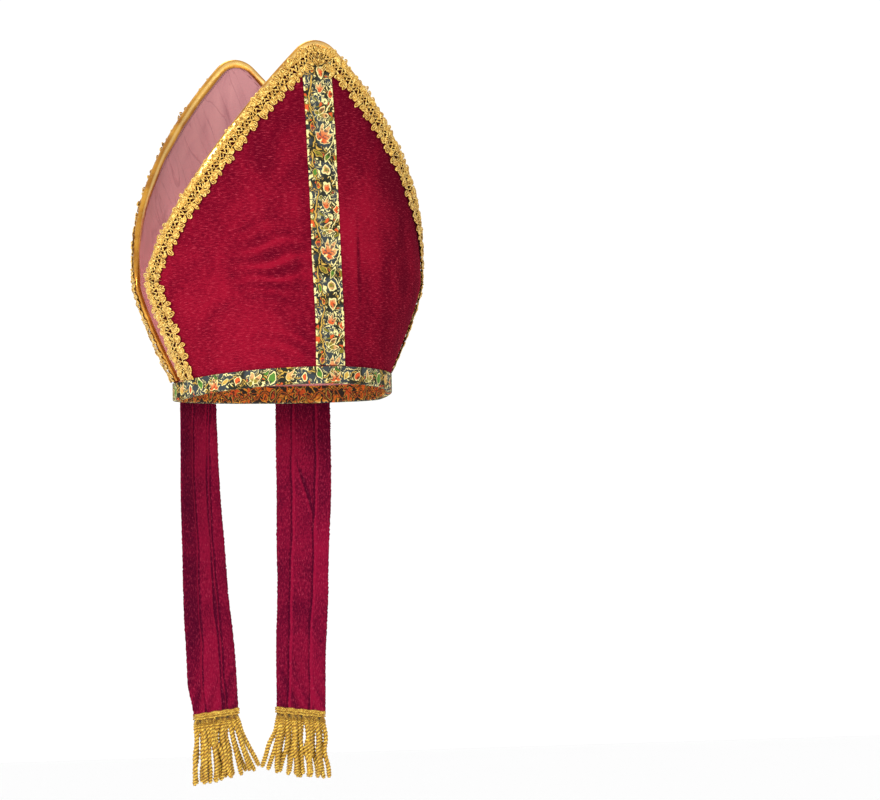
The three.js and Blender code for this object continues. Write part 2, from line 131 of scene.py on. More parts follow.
def plan_half_width(z):
    share = np.clip((z - TRIM_FOOT) / (CORNER_HEIGHT - TRIM_FOOT), 0, 1)
    return mix(RIM_HALF_WIDTH, CORNER_HALF_WIDTH, 1 - (1 - share) ** FLARE_POWER)


def plan_depth(panel, z):
    return mix(RIM_DEPTH[panel], TIP_DEPTH[panel], np.clip(z / PANEL_HEIGHT, 0, 1))


def arc_length(angle, half_width, depth):
    """How far the panel's plan runs from its middle to an angle of its ellipse."""
    at = np.asarray(angle)[..., None] * ((np.arange(24) + 0.5) / 24)
    wide, deep = (np.asarray(value)[..., None] for value in (half_width, depth))
    speed = np.hypot(wide * np.cos(at), deep * np.sin(at))
    return speed.mean(-1) * angle


def angle_at_arc(arc, half_width, depth):
    angle = 2 * arc / (half_width + depth)
    for _ in range(6):
        speed = np.hypot(half_width * np.cos(angle), depth * np.sin(angle))
        angle = angle - (arc_length(angle, half_width, depth) - arc) / speed
    return angle


def fold_depth(panel, arc, z):
    depth = 0
    for across, up, wide, tall, deep in FOLDS[panel]:
        depth = depth + deep * bell(arc / CORNER_HALF_WIDTH, across, wide) * bell(z / PANEL_HEIGHT, up, tall)
    return depth


def on_panel(panel, arc, z, out):
    """Points on a panel: arc along its plan, height z, and out from the velvet's face."""
    arc, z, out = np.broadcast_arrays(*(np.asarray(value, float) for value in (arc, z, out)))
    half_width = plan_half_width(z)
    depth = plan_depth(panel, z)
    angle = angle_at_arc(arc, half_width, depth)
    normal = np.stack([np.sin(angle) / half_width, np.cos(angle) / depth])
    normal = normal / np.linalg.norm(normal, axis=0)
    lift = out - fold_depth(panel, arc, z)
    x = half_width * np.sin(angle) + lift * normal[0]
    y = SEAM_Y + FACING[panel] * (depth * np.cos(angle) + lift * normal[1])
    arch = RIM_ARCH[panel] * np.cos(angle) * (1 - np.clip(z / PANEL_HEIGHT, 0, 1))
    return np.stack([x, y, z + arch], -1)


def side_edge_x(panel, z):
    gap = mix(RIM_GAP, CORNER_GAP[panel], 1 - (1 - z / CORNER_HEIGHT) ** 2)
    return plan_half_width(z) * np.sqrt(1 - (gap / plan_depth(panel, z)) ** 2)


def half_outline(panel):
    """The panel's edge as it is cut, from the rim to the tip: rows of arc and height."""
    z = np.linspace(0, CORNER_HEIGHT, 20)
    points = [np.stack([side_edge_x(panel, z), z], -1)]
    slope = math.sqrt(0.5)
    corner = np.array([side_edge_x(panel, CORNER_HEIGHT), CORNER_HEIGHT])
    tip = np.array([TIP_RADIUS * slope, PANEL_HEIGHT - TIP_RADIUS * (1 - slope)])
    pulls = [corner, corner + [0, ARCH_PULL], tip + [ARCH_PULL * slope, -ARCH_PULL * slope], tip]
    t = np.linspace(0, 1, 61)[1:, None]
    weights = [(1 - t) ** 3, 3 * t * (1 - t) ** 2, 3 * t * t * (1 - t), t**3]
    points.append(sum(weight * pull for weight, pull in zip(weights, pulls)))
    turn = np.linspace(math.pi / 4, 0, 9)[1:]
    points.append(np.stack([TIP_RADIUS * np.sin(turn), PANEL_HEIGHT - TIP_RADIUS * (1 - np.cos(turn))], -1))
    x, z = np.concatenate(points).T
    half_width = plan_half_width(z)
    return np.stack([arc_length(np.arcsin(x / half_width), half_width, plan_depth(panel, z)), z], -1)


class Edge:
    """A panel's whole edge, from its -X foot over the tip to its +X foot, by distance along it."""

    def __init__(self, panel):
        half = half_outline(panel)
        self.panel = panel
        self.points = np.concatenate([half * [-1, 1], half[-2::-1]])
        step = np.linalg.norm(np.diff(self.points, axis=0), axis=1)
        self.distance = np.concatenate([[0], np.cumsum(step)])
        self.length = self.distance[-1]
        run = np.gradient(self.points, self.distance, axis=0)
        self.run = run / np.linalg.norm(run, axis=1, keepdims=True)

    def inside(self, distance, inwards):
        """Arc and height at a distance along the edge and this far in from it."""
        at = [np.interp(distance, self.distance, column) for column in self.points.T]
        run = [np.interp(distance, self.distance, column) for column in self.run.T]
        return at[0] + inwards * run[1], at[1] - inwards * run[0]

    def place(self, distance, inwards, out):
        arc, z = self.inside(distance, inwards)
        return on_panel(self.panel, arc, z, out)


EDGE = {panel: Edge(panel) for panel in FACING}
LAPPET_START = float(arc_length(math.asin(LAPPET_SPREAD / RIM_HALF_WIDTH), RIM_HALF_WIDTH, RIM_DEPTH["back"]))


def share_down(z):
    """How far down the hanging part of a lappet a height lies, from 0 to 1."""
    return np.clip(-z / LAPPET_DROP, 0, 1)


def on_lappet(side, across, z, out):
    """Points on a hanging lappet: across away from the hat's middle, height z, and out from the band."""
    across, z, out = np.broadcast_arrays(*(np.asarray(value, float) for value in (across, z, out)))
    tight = GATHERED[side] * smooth((GATHERED_HEIGHT - LAPPET_DROP - z) / GATHERED_HEIGHT)
    across = across * (1 - tight) - tight * LAPPET_WIDTH / 2
    held = on_panel("back", LAPPET_START + across, np.maximum(z, 0), out)
    middle = on_panel("back", LAPPET_START, 0, out)
    share = share_down(z)
    spread = mix(LAPPET_SPREAD, END_SPREAD[side], share)
    hanging = np.stack([spread + across, middle[..., 1], z - END_SLOPE * across * share**2], -1)
    held[..., 2] = z
    point = held + (hanging - held) * smooth(share)[..., None]
    point[..., 0] *= HAND[side]
    return point


def ripple(x, y, seed, count=6):
    """A soft random wave field between about -1 and 1, the same on every run."""
    rng = np.random.default_rng(seed)
    total = 0
    for _ in range(count):
        angle, phase = rng.uniform(0, 2 * math.pi, 2)
        pace = rng.uniform(0.6, 1.6)
        total = total + np.sin(pace * (x * math.cos(angle) + y * math.sin(angle)) + phase)
    return total / math.sqrt(count)


# Making pieces


def clear_selection():
    if bpy.context.object and bpy.context.object.mode != "OBJECT":
        bpy.ops.object.mode_set(mode="OBJECT")
    bpy.ops.object.select_all(action="DESELECT")


def choose(*pieces):
    clear_selection()
    for piece in pieces:
        piece.select_set(True)
    bpy.context.view_layer.objects.active = pieces[0]


def in_edit_mode(piece, step, **settings):
    choose(piece)
    bpy.ops.object.mode_set(mode="EDIT")
    bpy.ops.mesh.select_all(action="SELECT")
    step(**settings)
    bpy.ops.object.mode_set(mode="OBJECT")


def finish_with(piece, kind, **settings):
    choose(piece)
    modifier = piece.modifiers.new(kind.title(), kind)
    for key, value in settings.items():
        setattr(modifier, key, value)
    bpy.ops.object.modifier_apply(modifier=modifier.name)


def sheet_of(name, columns, rows, place, flat, marks=None):
    """A flat grid pressed into its place. place, flat and marks take shares across and up the grid."""
    clear_selection()
    bpy.ops.mesh.primitive_grid_add(x_subdivisions=columns, y_subdivisions=rows, size=1, calc_uvs=True)
    piece = bpy.context.object
    piece.name = name
    mesh = piece.data
    co = np.empty(len(mesh.vertices) * 3)
    mesh.vertices.foreach_get("co", co)
    u, v = co.reshape(-1, 3)[:, 0] + 0.5, co.reshape(-1, 3)[:, 1] + 0.5
    mesh.vertices.foreach_set("co", place(u, v).astype(np.float32).ravel())
    corner = np.empty(len(mesh.loops), np.int32)
    mesh.loops.foreach_get("vertex_index", corner)
    flat_places = np.stack(flat(u, v), -1)[corner]
    mesh.uv_layers.active.data.foreach_set("uv", flat_places.astype(np.float32).ravel())
    for key, value in (marks or {}).items():
        mark = mesh.attributes.new(key, "FLOAT", "POINT")
        mark.data.foreach_set("value", value(u, v).astype(np.float32))
    mesh.update()
    return piece


def merge_seam(piece, distance=1e-6):
    in_edit_mode(piece, bpy.ops.mesh.remove_doubles, threshold=distance)


def face_outwards(piece):
    in_edit_mode(piece, bpy.ops.mesh.normals_make_consistent, inside=False)


def close_ends(piece):
    def fill():
        bpy.ops.mesh.select_all(action="DESELECT")
        bpy.ops.mesh.select_non_manifold()
        bpy.ops.mesh.fill_holes(sides=0)

    in_edit_mode(piece, fill)


def joined(name, pieces):
    choose(*pieces)
    bpy.ops.object.join()
    piece = bpy.context.object
    piece.name = name
    return piece


def move_points(piece, move):
    """Moves every point of a piece to where move says."""
    co = np.empty(len(piece.data.vertices) * 3)
    piece.data.vertices.foreach_get("co", co)
    piece.data.vertices.foreach_set("co", move(co.reshape(-1, 3)).astype(np.float32).ravel())
    piece.data.update()


def smooth_faces(piece, degrees=60):
    choose(piece)
    bpy.ops.object.shade_smooth_by_angle(angle=math.radians(degrees))


def done(piece, material, node):
    """Gives a finished piece its material and its place in the part."""
    piece.data.materials.clear()
    piece.data.materials.append(material)
    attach(piece, "root")
    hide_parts(node)
    return piece


def done_with_thickness(piece, thickness, offset, material, node):
    """Gives a cloth its thickness first. offset is -1 for inwards of its face, and 0 for both ways."""
    finish_with(piece, "SOLIDIFY", thickness=thickness, offset=offset)
    face_outwards(piece)
    smooth_faces(piece)
    return done(piece, material, node)


def curve_through(points, count):
    """A smooth line through the points, as this many places on it and the directions there."""
    points = np.asarray(points, float)
    ends = np.concatenate([[2 * points[0] - points[1]], points, [2 * points[-1] - points[-2]]])
    at = np.linspace(0, len(points) - 1, count)
    k = np.minimum(at.astype(int), len(points) - 2)
    t = (at - k)[:, None]
    a, b, c, d = (ends[k + i] for i in range(4))
    line = 0.5 * (2 * b + (c - a) * t + (2 * a - 5 * b + 4 * c - d) * t**2 + (3 * b - a - 3 * c + d) * t**3)
    run = np.gradient(line, axis=0)
    return line, run / np.maximum(np.linalg.norm(run, axis=1, keepdims=True), 1e-12)


def tube(name, points, radius, steps, sides, plies=0, turns=0.0, flatten=1.0, taper=0.0, neck=0.0,
         shade=0.0):
    """A thread or cord through the points. With plies it has that many lobes, laid up in turns.

    neck makes its start thinner. The dips between plies are marked for painted shade, and shade adds painted
    shade over all of it."""
    line, run = curve_through(points, steps + 1)
    up = np.array([0.0, 0.0, 1.0]) if abs(run[:, 2]).mean() < 0.6 else np.array([0.0, 1.0, 0.0])
    side = np.cross(run, up)
    side /= np.linalg.norm(side, axis=1, keepdims=True)
    lift = np.cross(side, run)

    def place(u, v):
        k = np.rint(u * steps).astype(int)
        around = 2 * math.pi * v
        lobe = 1 + 0.2 * np.cos(plies * around) if plies else 1
        narrow = 1 - taper * np.maximum(0, (abs(2 * u - 1) - 0.9) * 10) ** 2 - neck * (1 - smooth(u * 8))
        around = around + 2 * math.pi * turns * u
        reach = (radius * lobe * narrow)[:, None]
        bow = np.cos(around)[:, None] * side[k] + flatten * np.sin(around)[:, None] * lift[k]
        return line[k] + reach * bow

    length = float(np.linalg.norm(np.diff(line, axis=0), axis=1).sum())
    piece = sheet_of(name, steps, sides, place, lambda u, v: (v * 2 * math.pi * radius, u * length),
                     {"painted_shade": lambda u, v: shade + 0.5 - 0.5 * np.cos(plies * 2 * math.pi * v)})
    merge_seam(piece, radius * 0.02)
    close_ends(piece)
    face_outwards(piece)
    return piece


# Finishes


def operator(operation):
    """An operator of a wire, which adds this Math node."""
    return lambda wire, *others: wire.finish.maths(operation, wire, *others)


class Wire:
    """A socket in a sum: each operator adds its own Math node."""

    def __init__(self, finish, socket):
        self.finish = finish
        self.socket = socket

    def __rsub__(self, other):
        return self.finish.maths("SUBTRACT", other, self)

    __add__ = __radd__ = operator("ADD")
    __sub__ = operator("SUBTRACT")
    __mul__ = __rmul__ = operator("MULTIPLY")
    __truediv__ = operator("DIVIDE")
    __pow__ = operator("POWER")
    __abs__ = operator("ABSOLUTE")


class Finish:
    """One material, with its Principled shader."""

    def __init__(self, name, **constants):
        self.material = bpy.data.materials.new(name)
        self.material.use_nodes = True
        self.tree = self.material.node_tree
        self.shader = self.tree.nodes["Principled BSDF"]
        for key, value in constants.items():
            socket = key.replace("_", " ").title().replace("Ior", "IOR")
            self.shader.inputs[socket].default_value = value

    def node(self, kind, settings=None, values=None, out=0):
        made = self.tree.nodes.new(kind)
        for key, value in (settings or {}).items():
            setattr(made, key, value)
        for key, value in (values or {}).items():
            if isinstance(value, Wire):
                self.tree.links.new(value.socket, made.inputs[key])
            else:
                made.inputs[key].default_value = value
        return Wire(self, made.outputs[out])

    def maths(self, operation, *values):
        return self.node("ShaderNodeMath", {"operation": operation}, dict(enumerate(values)))

    def feed(self, socket, value):
        self.tree.links.new(value.socket, self.shader.inputs[socket])

    def places(self):
        return self.node("ShaderNodeTexCoord", out="Object")

    def mark(self, key):
        """A value marked on the piece's own points."""
        return self.node("ShaderNodeAttribute", {"attribute_name": key}, out="Fac")

    def along_cloth(self):
        """The cloth's own flat coordinates, in metres: across and along."""
        return self.node("ShaderNodeUVMap")

    def parts(self, vector):
        split = self.node("ShaderNodeSeparateXYZ", values={0: vector})
        outputs = split.socket.node.outputs
        return [Wire(self, outputs[i]) for i in range(3)]

    def join(self, x, y, z=0.0):
        return self.node("ShaderNodeCombineXYZ", values={0: x, 1: y, 2: z})

    def noise(self, vector, scale, detail=2.0, rough=0.5, warp=0.0):
        values = {"Vector": vector, "Scale": scale, "Detail": detail, "Roughness": rough, "Distortion": warp}
        return self.node("ShaderNodeTexNoise", None, values)

    def woven(self, flat, pace, detail=1.0, rough=0.5, warp=0.0):
        """Noise over the flat cloth, with its own pace across and along."""
        paced = self.node("ShaderNodeVectorMath", {"operation": "MULTIPLY"}, {0: flat, 1: (*pace, 1)})
        return self.noise(paced, 1.0, detail, rough, warp)

    def step(self, value, low, high):
        """0 below low and 1 above high, with a soft change between."""
        values = {"Value": value, "From Min": low, "From Max": high}
        return self.node("ShaderNodeMapRange", {"interpolation_type": "SMOOTHSTEP"}, values)

    def within(self, value, low, high):
        return 1 - self.step(value, low, high)

    def blend(self, share, under, over):
        settings = {"data_type": "RGBA"}
        colours = {0: share}
        for index, colour in ((6, under), (7, over)):
            colours[index] = colour if isinstance(colour, Wire) else (*colour, 1)
        return self.node("ShaderNodeMix", settings, colours, out=2)

    def layered(self, colour, *layers):
        """Colours laid over one another, each as far as its own share says."""
        for share, over in layers:
            colour = self.blend(share, colour, over)
        return colour

    def bump(self, height, distance, strength):
        values = {"Height": height, "Distance": distance, "Strength": strength}
        self.feed("Normal", self.node("ShaderNodeBump", None, values))


def velvet_finish(name, deep, base, light, nap, sheen, lace_shade=False):
    """Velvet: short pile in rows, darker and paler at random and by the painted shade and light of its folds
    and creases, and paler where it is rubbed.

    With its last argument it gets painted shade under the lace, from just in from its edge to past the lace's
    inner edge."""
    velvet = Finish(name, roughness=0.9, ior=1.03, sheen_weight=sheen, sheen_roughness=0.4,
                    sheen_tint=(1.0, 0.2, 0.3, 1), specular_ior_level=0.06)
    flat = velvet.along_cloth()
    rows = velvet.woven(flat, nap, 2.0, 0.6, 0.4)
    crush = velvet.woven(flat, (26, 19), 3.0, 0.6, 0.8)
    broad = velvet.woven(flat, (8, 8))
    grain = velvet.woven(flat, (2200, 1700))
    # The lean mark brings painted shade and light of folds and creases; the noises are the pile's own random
    # tone
    lean = rows * 0.34 + crush * 0.26 + broad * 0.14 + grain * 0.26 + velvet.mark("lean") * 0.1
    rubbed = velvet.step(rows * 0.6 + grain * 0.4, 0.54, 0.72) * 0.6
    colour = velvet.layered(deep, (velvet.step(lean, 0.38, 0.62), base), (rubbed, light))
    if lace_shade:
        # Painted shade under the lace, a dark band over the velvet that the lace covers
        inside = velvet.mark("from_edge")
        shade = velvet.step(inside, 0.002, 0.005) * velvet.within(inside, 0.0125, 0.018)
        colour = velvet.blend(shade * 0.8, colour, (0.035, 0.006, 0.004))
    velvet.feed("Base Color", colour)
    velvet.bump(rows * 0.5 + grain * 0.3 + crush * 0.2, 0.0009, 0.6)
    return velvet.material


# Painted shade for the lining's wrinkles and creases
ROSE_PAINTED_SHADE = (0.19, 0.05, 0.065)


def satin_finish():
    """Lining satin with painted light low down inside the hat, painted light and shade on its wrinkles and
    creases, and a row of stitches along its edge.
    """
    satin = Finish("rose_satin", roughness=0.45, sheen_weight=0.2, sheen_roughness=0.3,
                   sheen_tint=(1.0, 0.7, 0.72, 1))
    flat = satin.along_cloth()
    wave = satin.woven(flat, (34, 12), 3.0, 0.55, 1.2)
    thread = satin.woven(flat, (300, 2600))
    across, along, _ = satin.parts(flat)
    dash = satin.step(satin.maths("SINE", (along + across * 0.6) * 2400), -0.5, 0.3)
    stitch = satin.within(abs(satin.mark("from_edge") - 0.0074), 0.0002, 0.0006) * dash
    slant = satin.join(across * 95 + along * 34, along * 11 - across * 5)
    pleat = satin.noise(slant, 1.0, 1.0, 0.5, 0.6)
    crease = satin.within(abs(pleat - 0.5), 0.004, 0.02) * satin.step(along, 0.12, 0.17)
    satin.feed("Base Color", satin.layered(
        # Painted light low down inside the hat, giving way above to the satin's own colour
        (0.80, 0.35, 0.36),
        (satin.step(along, 0.06, 0.25), (0.37, 0.15, 0.155)),
        # Painted light and shade on the satin's soft wrinkles
        (satin.step(wave, 0.42, 0.7) * 0.45, (0.48, 0.215, 0.205)),
        (satin.within(wave, 0.3, 0.46) * 0.4, ROSE_PAINTED_SHADE),
        (stitch * 0.8, (0.12, 0.02, 0.035)),
        # Painted shade in the creases
        (crease * 0.3, ROSE_PAINTED_SHADE),
    ))
    satin.bump(wave * 0.8 + thread * 0.1 - stitch * 0.3 - crease * 0.3, 0.0016, 0.4)
    return satin.material


def gold_strip_finish():
    """Thin shiny cloth of foil, with a painted highlight on the crest of each side and painted shade along
    its two hems.
    """
    gold = Finish("gold_lame", metallic=0.9, roughness=0.3)
    flat = gold.along_cloth()
    pucker = gold.woven(flat, (60, 45), 2.0, 0.5, 0.4)
    weave = gold.woven(flat, (1500, 1500))
    from_fold = abs(gold.parts(flat)[0] - BINDING_WIDTH / 2)
    gold.feed("Base Color", gold.layered(
        (0.32, 0.11, 0.010),
        # Darker in the pucker hollows: painted shade
        (gold.step(pucker, 0.3, 0.7), (0.60, 0.29, 0.035)),
        # Painted highlight on the crest of each side
        (gold.within(abs(from_fold - 0.0040), 0.0003, 0.0022) * 0.4, (1.0, 0.76, 0.30)),
        # Painted shade along the two hems
        (gold.step(from_fold, 0.0058, 0.0078) * 0.6, (0.24, 0.07, 0.006)),
        # Painted glints in the weave
        (gold.step(weave, 0.55, 0.75) * 0.3, (1.0, 0.80, 0.40)),
    ))
    gold.feed("Roughness", 0.16 + pucker * 0.2)
    gold.bump(pucker * 0.9 + weave * 0.1, 0.0008, 0.5)
    return gold.material


def gold_thread_finish(name, dark, base, light, patches):
    """Metallic thread round a core, in random patches whose palest are painted highlights and darkest painted
    shade, with painted shade between its plies.
    """
    gold = Finish(name, metallic=0.4, roughness=0.42, sheen_weight=0.1)
    places = gold.places()
    patch = gold.noise(places, patches, 2.0, 0.6)
    speck = gold.noise(places, patches * 4, 1.0)
    tone = patch * 0.6 + speck * 0.4
    painted_shade = gold.mark("painted_shade")
    gold.feed("Base Color", gold.layered(
        dark,
        # Random patches: the palest colour is a painted highlight and the darkest a painted shade
        (gold.step(tone, 0.36, 0.5), base),
        (gold.step(tone, 0.5, 0.66), light),
        # Painted shade between the plies
        (gold.step(painted_shade, 0.45, 0.95) * 0.85, tuple(channel * 0.4 for channel in dark)),
        # Painted shadow inside the fringe's head
        (gold.step(painted_shade, 1.1, 1.4), (0.012, 0.005, 0.002)),
    ))
    gold.feed("Roughness", 0.34 + patch * 0.25)
    gold.bump(speck, 0.0003, 0.8)
    return gold.material


CREAM = (0.70, 0.60, 0.25)
BLUSH = (0.54, 0.27, 0.10)
STRAW = (0.46, 0.28, 0.045)
OLIVE = (0.17, 0.145, 0.012)
ORANGE = (0.52, 0.075, 0.013)
LEAF = (0.065, 0.17, 0.02)
SLATE = (0.030, 0.037, 0.040)
SHADOW = (0.012, 0.011, 0.004)
UMBER = (0.026, 0.015, 0.008)
RUST = (0.36, 0.09, 0.012)


# Petals of the woven flowers, fanned from the foot: turn, length and width as shares of the flower's
FLAME = ((-6, 1.0, 0.30), (-38, 0.82, 0.27), (26, 0.86, 0.26), (-72, 0.55, 0.24), (60, 0.6, 0.25))
BLOSSOM = ((-28, 0.9, 0.42), (30, 0.95, 0.40), (-100, 0.55, 0.34), (96, 0.5, 0.34))
TULIP = ((0, 0.95, 0.30), (-30, 0.8, 0.28), (30, 0.8, 0.28))


def motif_reach(ribbon, kind, lengthwise, sideways):
    """How far out a point lies in a motif, where 1 is the motif's edge, and how far it is from its heart."""
    if kind == "leaf":
        reach = abs(lengthwise) ** 1.4 + abs(sideways) ** 1.3
        return reach, reach
    if isinstance(kind, str):
        if kind == "heart":
            lengthwise = lengthwise + 0.15 - abs(sideways) * 0.5
        reach = ribbon.maths("SQRT", lengthwise * lengthwise + sideways * sideways)
        return reach, reach
    ahead = lengthwise + 0.8
    reach = None
    for turn, length, width in kind:
        cosine, sine = turned(turn)
        along = (ahead * cosine + sideways * sine) / (0.9 * length) - 1
        beside = (sideways * cosine - ahead * sine) / width
        petal = abs(along) ** 1.5 + abs(beside) ** 1.3
        reach = ribbon.maths("MINIMUM", reach, petal) if reach else petal
    return reach, ribbon.maths("SQRT", ahead * ahead + sideways * sideways) * 0.62


def brocade_finish(name, motifs, scrolls, vines, inner=None, edged=True):
    """A woven ribbon: scrolls, flowers, leaves and vines on a dark ground.

    scrolls are the colours of two lines and two fills, and inner those of the ground, line and fill on the
    band's inner half."""
    ribbon = Finish(name, roughness=0.75, specular_ior_level=0.15)
    flat = ribbon.along_cloth()
    across, along, _ = ribbon.parts(flat)
    weave = ribbon.woven(flat, (900, 900))
    drift_across = ribbon.woven(flat, (210, 210))
    drift_along = ribbon.woven(flat, (170, 240))
    across = across + (drift_across - 0.5) * 0.0038 + (weave - 0.5) * 0.0008
    along = ribbon.maths("FLOORED_MODULO", along + (drift_along - 0.5) * 0.0038, REPEAT)

    # The repeat wrapped into a ring, so that its scrolls run on from one repeat to the next
    ring = REPEAT / (2 * math.pi)
    around = along * (1 / ring)
    space = ribbon.join(across, ribbon.maths("COSINE", around) * ring, ribbon.maths("SINE", around) * ring)
    curl = ribbon.noise(space, 135.0, 0.0, 0.5, 0.9)
    hue = ribbon.noise(space, 90.0, 1.0)
    line_colour = ribbon.blend(ribbon.step(hue, 0.46, 0.53), scrolls[0], scrolls[1])
    fill_colour = ribbon.blend(ribbon.step(hue, 0.47, 0.5), scrolls[2], scrolls[3])
    under = ribbon.blend(ribbon.step(ribbon.noise(space, 70.0, 1.0), 0.38, 0.56), SLATE, SHADOW)
    if inner:
        outer = ribbon.step(across, -0.0035, -0.0015)
        line_colour = ribbon.blend(outer, inner[1], line_colour)
        fill_colour = ribbon.blend(outer, inner[2], fill_colour)
        under = ribbon.blend(outer, inner[0], under)
    colour = ribbon.blend(ribbon.step(curl, 0.69, 0.71), under, fill_colour)
    twig = ribbon.noise(space, 230.0, 0.0, 0.5, 0.5)
    for level, width, broken in ((0.63, 0.021, 0.44), (0.51, 0.012, 0.47), (0.39, 0.021, 0.44)):
        stroke = ribbon.within(abs(curl - level), width * 0.8, width * 1.5)
        shown = ribbon.step(twig, broken - 0.02, broken + 0.02)
        colour = ribbon.blend(stroke * shown, colour, line_colour)
    if inner:
        stroke = ribbon.within(abs(curl - 0.45), 0.018, 0.03)
        colour = ribbon.blend(stroke * (1 - outer), colour, fill_colour)
    streak = ribbon.noise(space, 420.0, 0.0, 0.5, 0.4)
    for waves, swing, phase, width, shade in vines:
        bend = along * (waves / ring) + phase
        middle = ribbon.maths("SINE", bend) * swing[0] + swing[1]
        steep = ribbon.maths("COSINE", bend) * (swing[0] * waves / ring)
        away = abs(across - middle) / ribbon.maths("SQRT", steep * steep + 1.0)
        colour = ribbon.layered(colour, (ribbon.within(away, width * 1.9, width * 2.2), under),
                                (ribbon.within(away, width * 0.7, width * 1.3), shade))
    for kind, x, y, length, width, turn, heart, body in motifs:
        aside, up = across - x * 0.001, along - y * 0.001
        cosine, sine = turned(turn)
        lengthwise = (aside * sine + up * cosine) / (length * 0.0005)
        sideways = (aside * cosine - up * sine) / (width * 0.0005)
        reach, from_heart = motif_reach(ribbon, kind, lengthwise, sideways)
        outline = scrolls[0] if x > -3.5 else scrolls[1]
        inside = ribbon.within(reach, 0.66, 0.78)
        colour = ribbon.layered(
            colour,
            (ribbon.within(reach, 1.3, 1.5), under),
            (ribbon.within(reach, 0.92, 1.04), outline),
            (inside, body),
            (inside * ribbon.within(from_heart, 0.2, 0.7), heart),
            (inside * ribbon.step(streak, 0.54, 0.6) * 0.8, under),
        )
    if edged:
        blocks = ribbon.step(ribbon.maths("SINE", around * 11 + drift_along * 6), 0.1, 0.4)
        colour = ribbon.blend(ribbon.step(abs(across), 0.0120, 0.0126) * blocks, colour, scrolls[0])
    thread = ribbon.woven(flat, (700, 2400))
    colour = ribbon.blend(ribbon.step(thread, 0.5, 0.7) * 0.25, colour, SLATE)
    ribbon.feed("Base Color", colour)
    ribbon.bump(thread * 0.6 + curl * 0.4, 0.0004, 0.6)
    return ribbon.material


# Rows of kind, place across and along, length, width, turn, heart and body, sizes in millimetres
STRIPE_MOTIFS = [
    ("heart", 3, 10, 11, 8, 180, ORANGE, BLUSH),
    ("bud", -5.5, 8, 7, 3.6, 8, ORANGE, ORANGE),
    (TULIP, 1.5, 24, 15, 12, 165, ORANGE, BLUSH),
    ("leaf", 11.5, 30, 9, 6, 0, ORANGE, ORANGE),
    ("leaf", 5, 36, 8, 4.5, 35, CREAM, CREAM),
    (BLOSSOM, 3, 47, 13.5, 12, 110, OLIVE, BLUSH),
    ("leaf", -8, 60, 10, 5.5, -5, ORANGE, ORANGE),
    (FLAME, 3.5, 65, 23, 17, 150, ORANGE, BLUSH),
    ("leaf", -4, 84, 12, 6, 50, OLIVE, OLIVE),
    ("leaf", 5, 87, 13, 5, -28, LEAF, OLIVE),
    ("heart", 3, 99, 9, 8, 0, OLIVE, BLUSH),
    ("bud", -8, 101, 8, 4, 0, LEAF, LEAF),
]
STRIPE_VINES = [(2, (0.0022, -0.0075), 0.4, 0.0006, STRAW), (3, (0.004, 0.0085), 1.9, 0.0005, CREAM)]
BAND_MOTIFS = [
    ("leaf", 9, 6, 10, 6, 60, ORANGE, ORANGE),
    (BLOSSOM, 10, 21, 14, 12, 70, OLIVE, BLUSH),
    ("leaf", 8, 35, 14, 6.5, 75, LEAF, LEAF),
    (TULIP, 10, 50, 14, 11, 60, STRAW, BLUSH),
    ("bud", 8, 62, 9, 5, 90, ORANGE, ORANGE),
    ("leaf", 11, 74, 13, 6, 110, LEAF, LEAF),
    (FLAME, 9, 88, 14, 12, 100, ORANGE, BLUSH),
    ("leaf", 9, 99, 9, 5, 50, STRAW, STRAW),
    (FLAME, -9, 14, 16, 14, 90, ORANGE, ORANGE),
    ("leaf", -9, 40, 14, 6, 70, ORANGE, UMBER),
    (FLAME, -9, 66, 16, 14, 100, ORANGE, ORANGE),
    ("leaf", -9, 90, 14, 6, 110, ORANGE, UMBER),
]
BAND_VINES = [(5, (0.003, 0.010), 0.4, 0.0005, STRAW), (6, (0.0035, -0.009), 0.2, 0.0006, RUST)]
LAPPET_MOTIFS = [
    ("leaf", -7, 10, 15, 8, 20, ORANGE, SLATE),
    (TULIP, 6, 19, 13, 11, 160, ORANGE, OLIVE),
    ("leaf", 6, 36, 18, 8, -25, OLIVE, SLATE),
    ("bud", -6, 40, 9, 6, 0, LEAF, LEAF),
    ("leaf", -7, 57, 15, 8, -30, ORANGE, SLATE),
    (TULIP, 7, 62, 13, 10, 190, ORANGE, ORANGE),
    ("leaf", -2, 76, 20, 9, 25, LEAF, SLATE),
    ("bud", 9, 88, 9, 5, 0, STRAW, OLIVE),
    (FLAME, -6, 97, 17, 13, 200, ORANGE, STRAW),
]
LAPPET_VINES = [(4, (0.005, -0.006), 0.4, 0.0004, STRAW), (5, (0.005, 0.006), 1.9, 0.0004, STRAW)]

# The panel velvet gets painted shade under its lace
PANEL_VELVET = velvet_finish("panel_velvet", (0.080, 0.0012, 0.008), (0.212, 0.004, 0.0165),
                             (0.41, 0.055, 0.085), (240, 950), 0.05, lace_shade=True)
LAPPET_VELVET = velvet_finish("lappet_velvet", (0.05, 0.0015, 0.011), (0.185, 0.004, 0.023),
                              (0.36, 0.05, 0.09), (900, 330), 0.06)
SATIN = satin_finish()
GOLD_STRIP = gold_strip_finish()
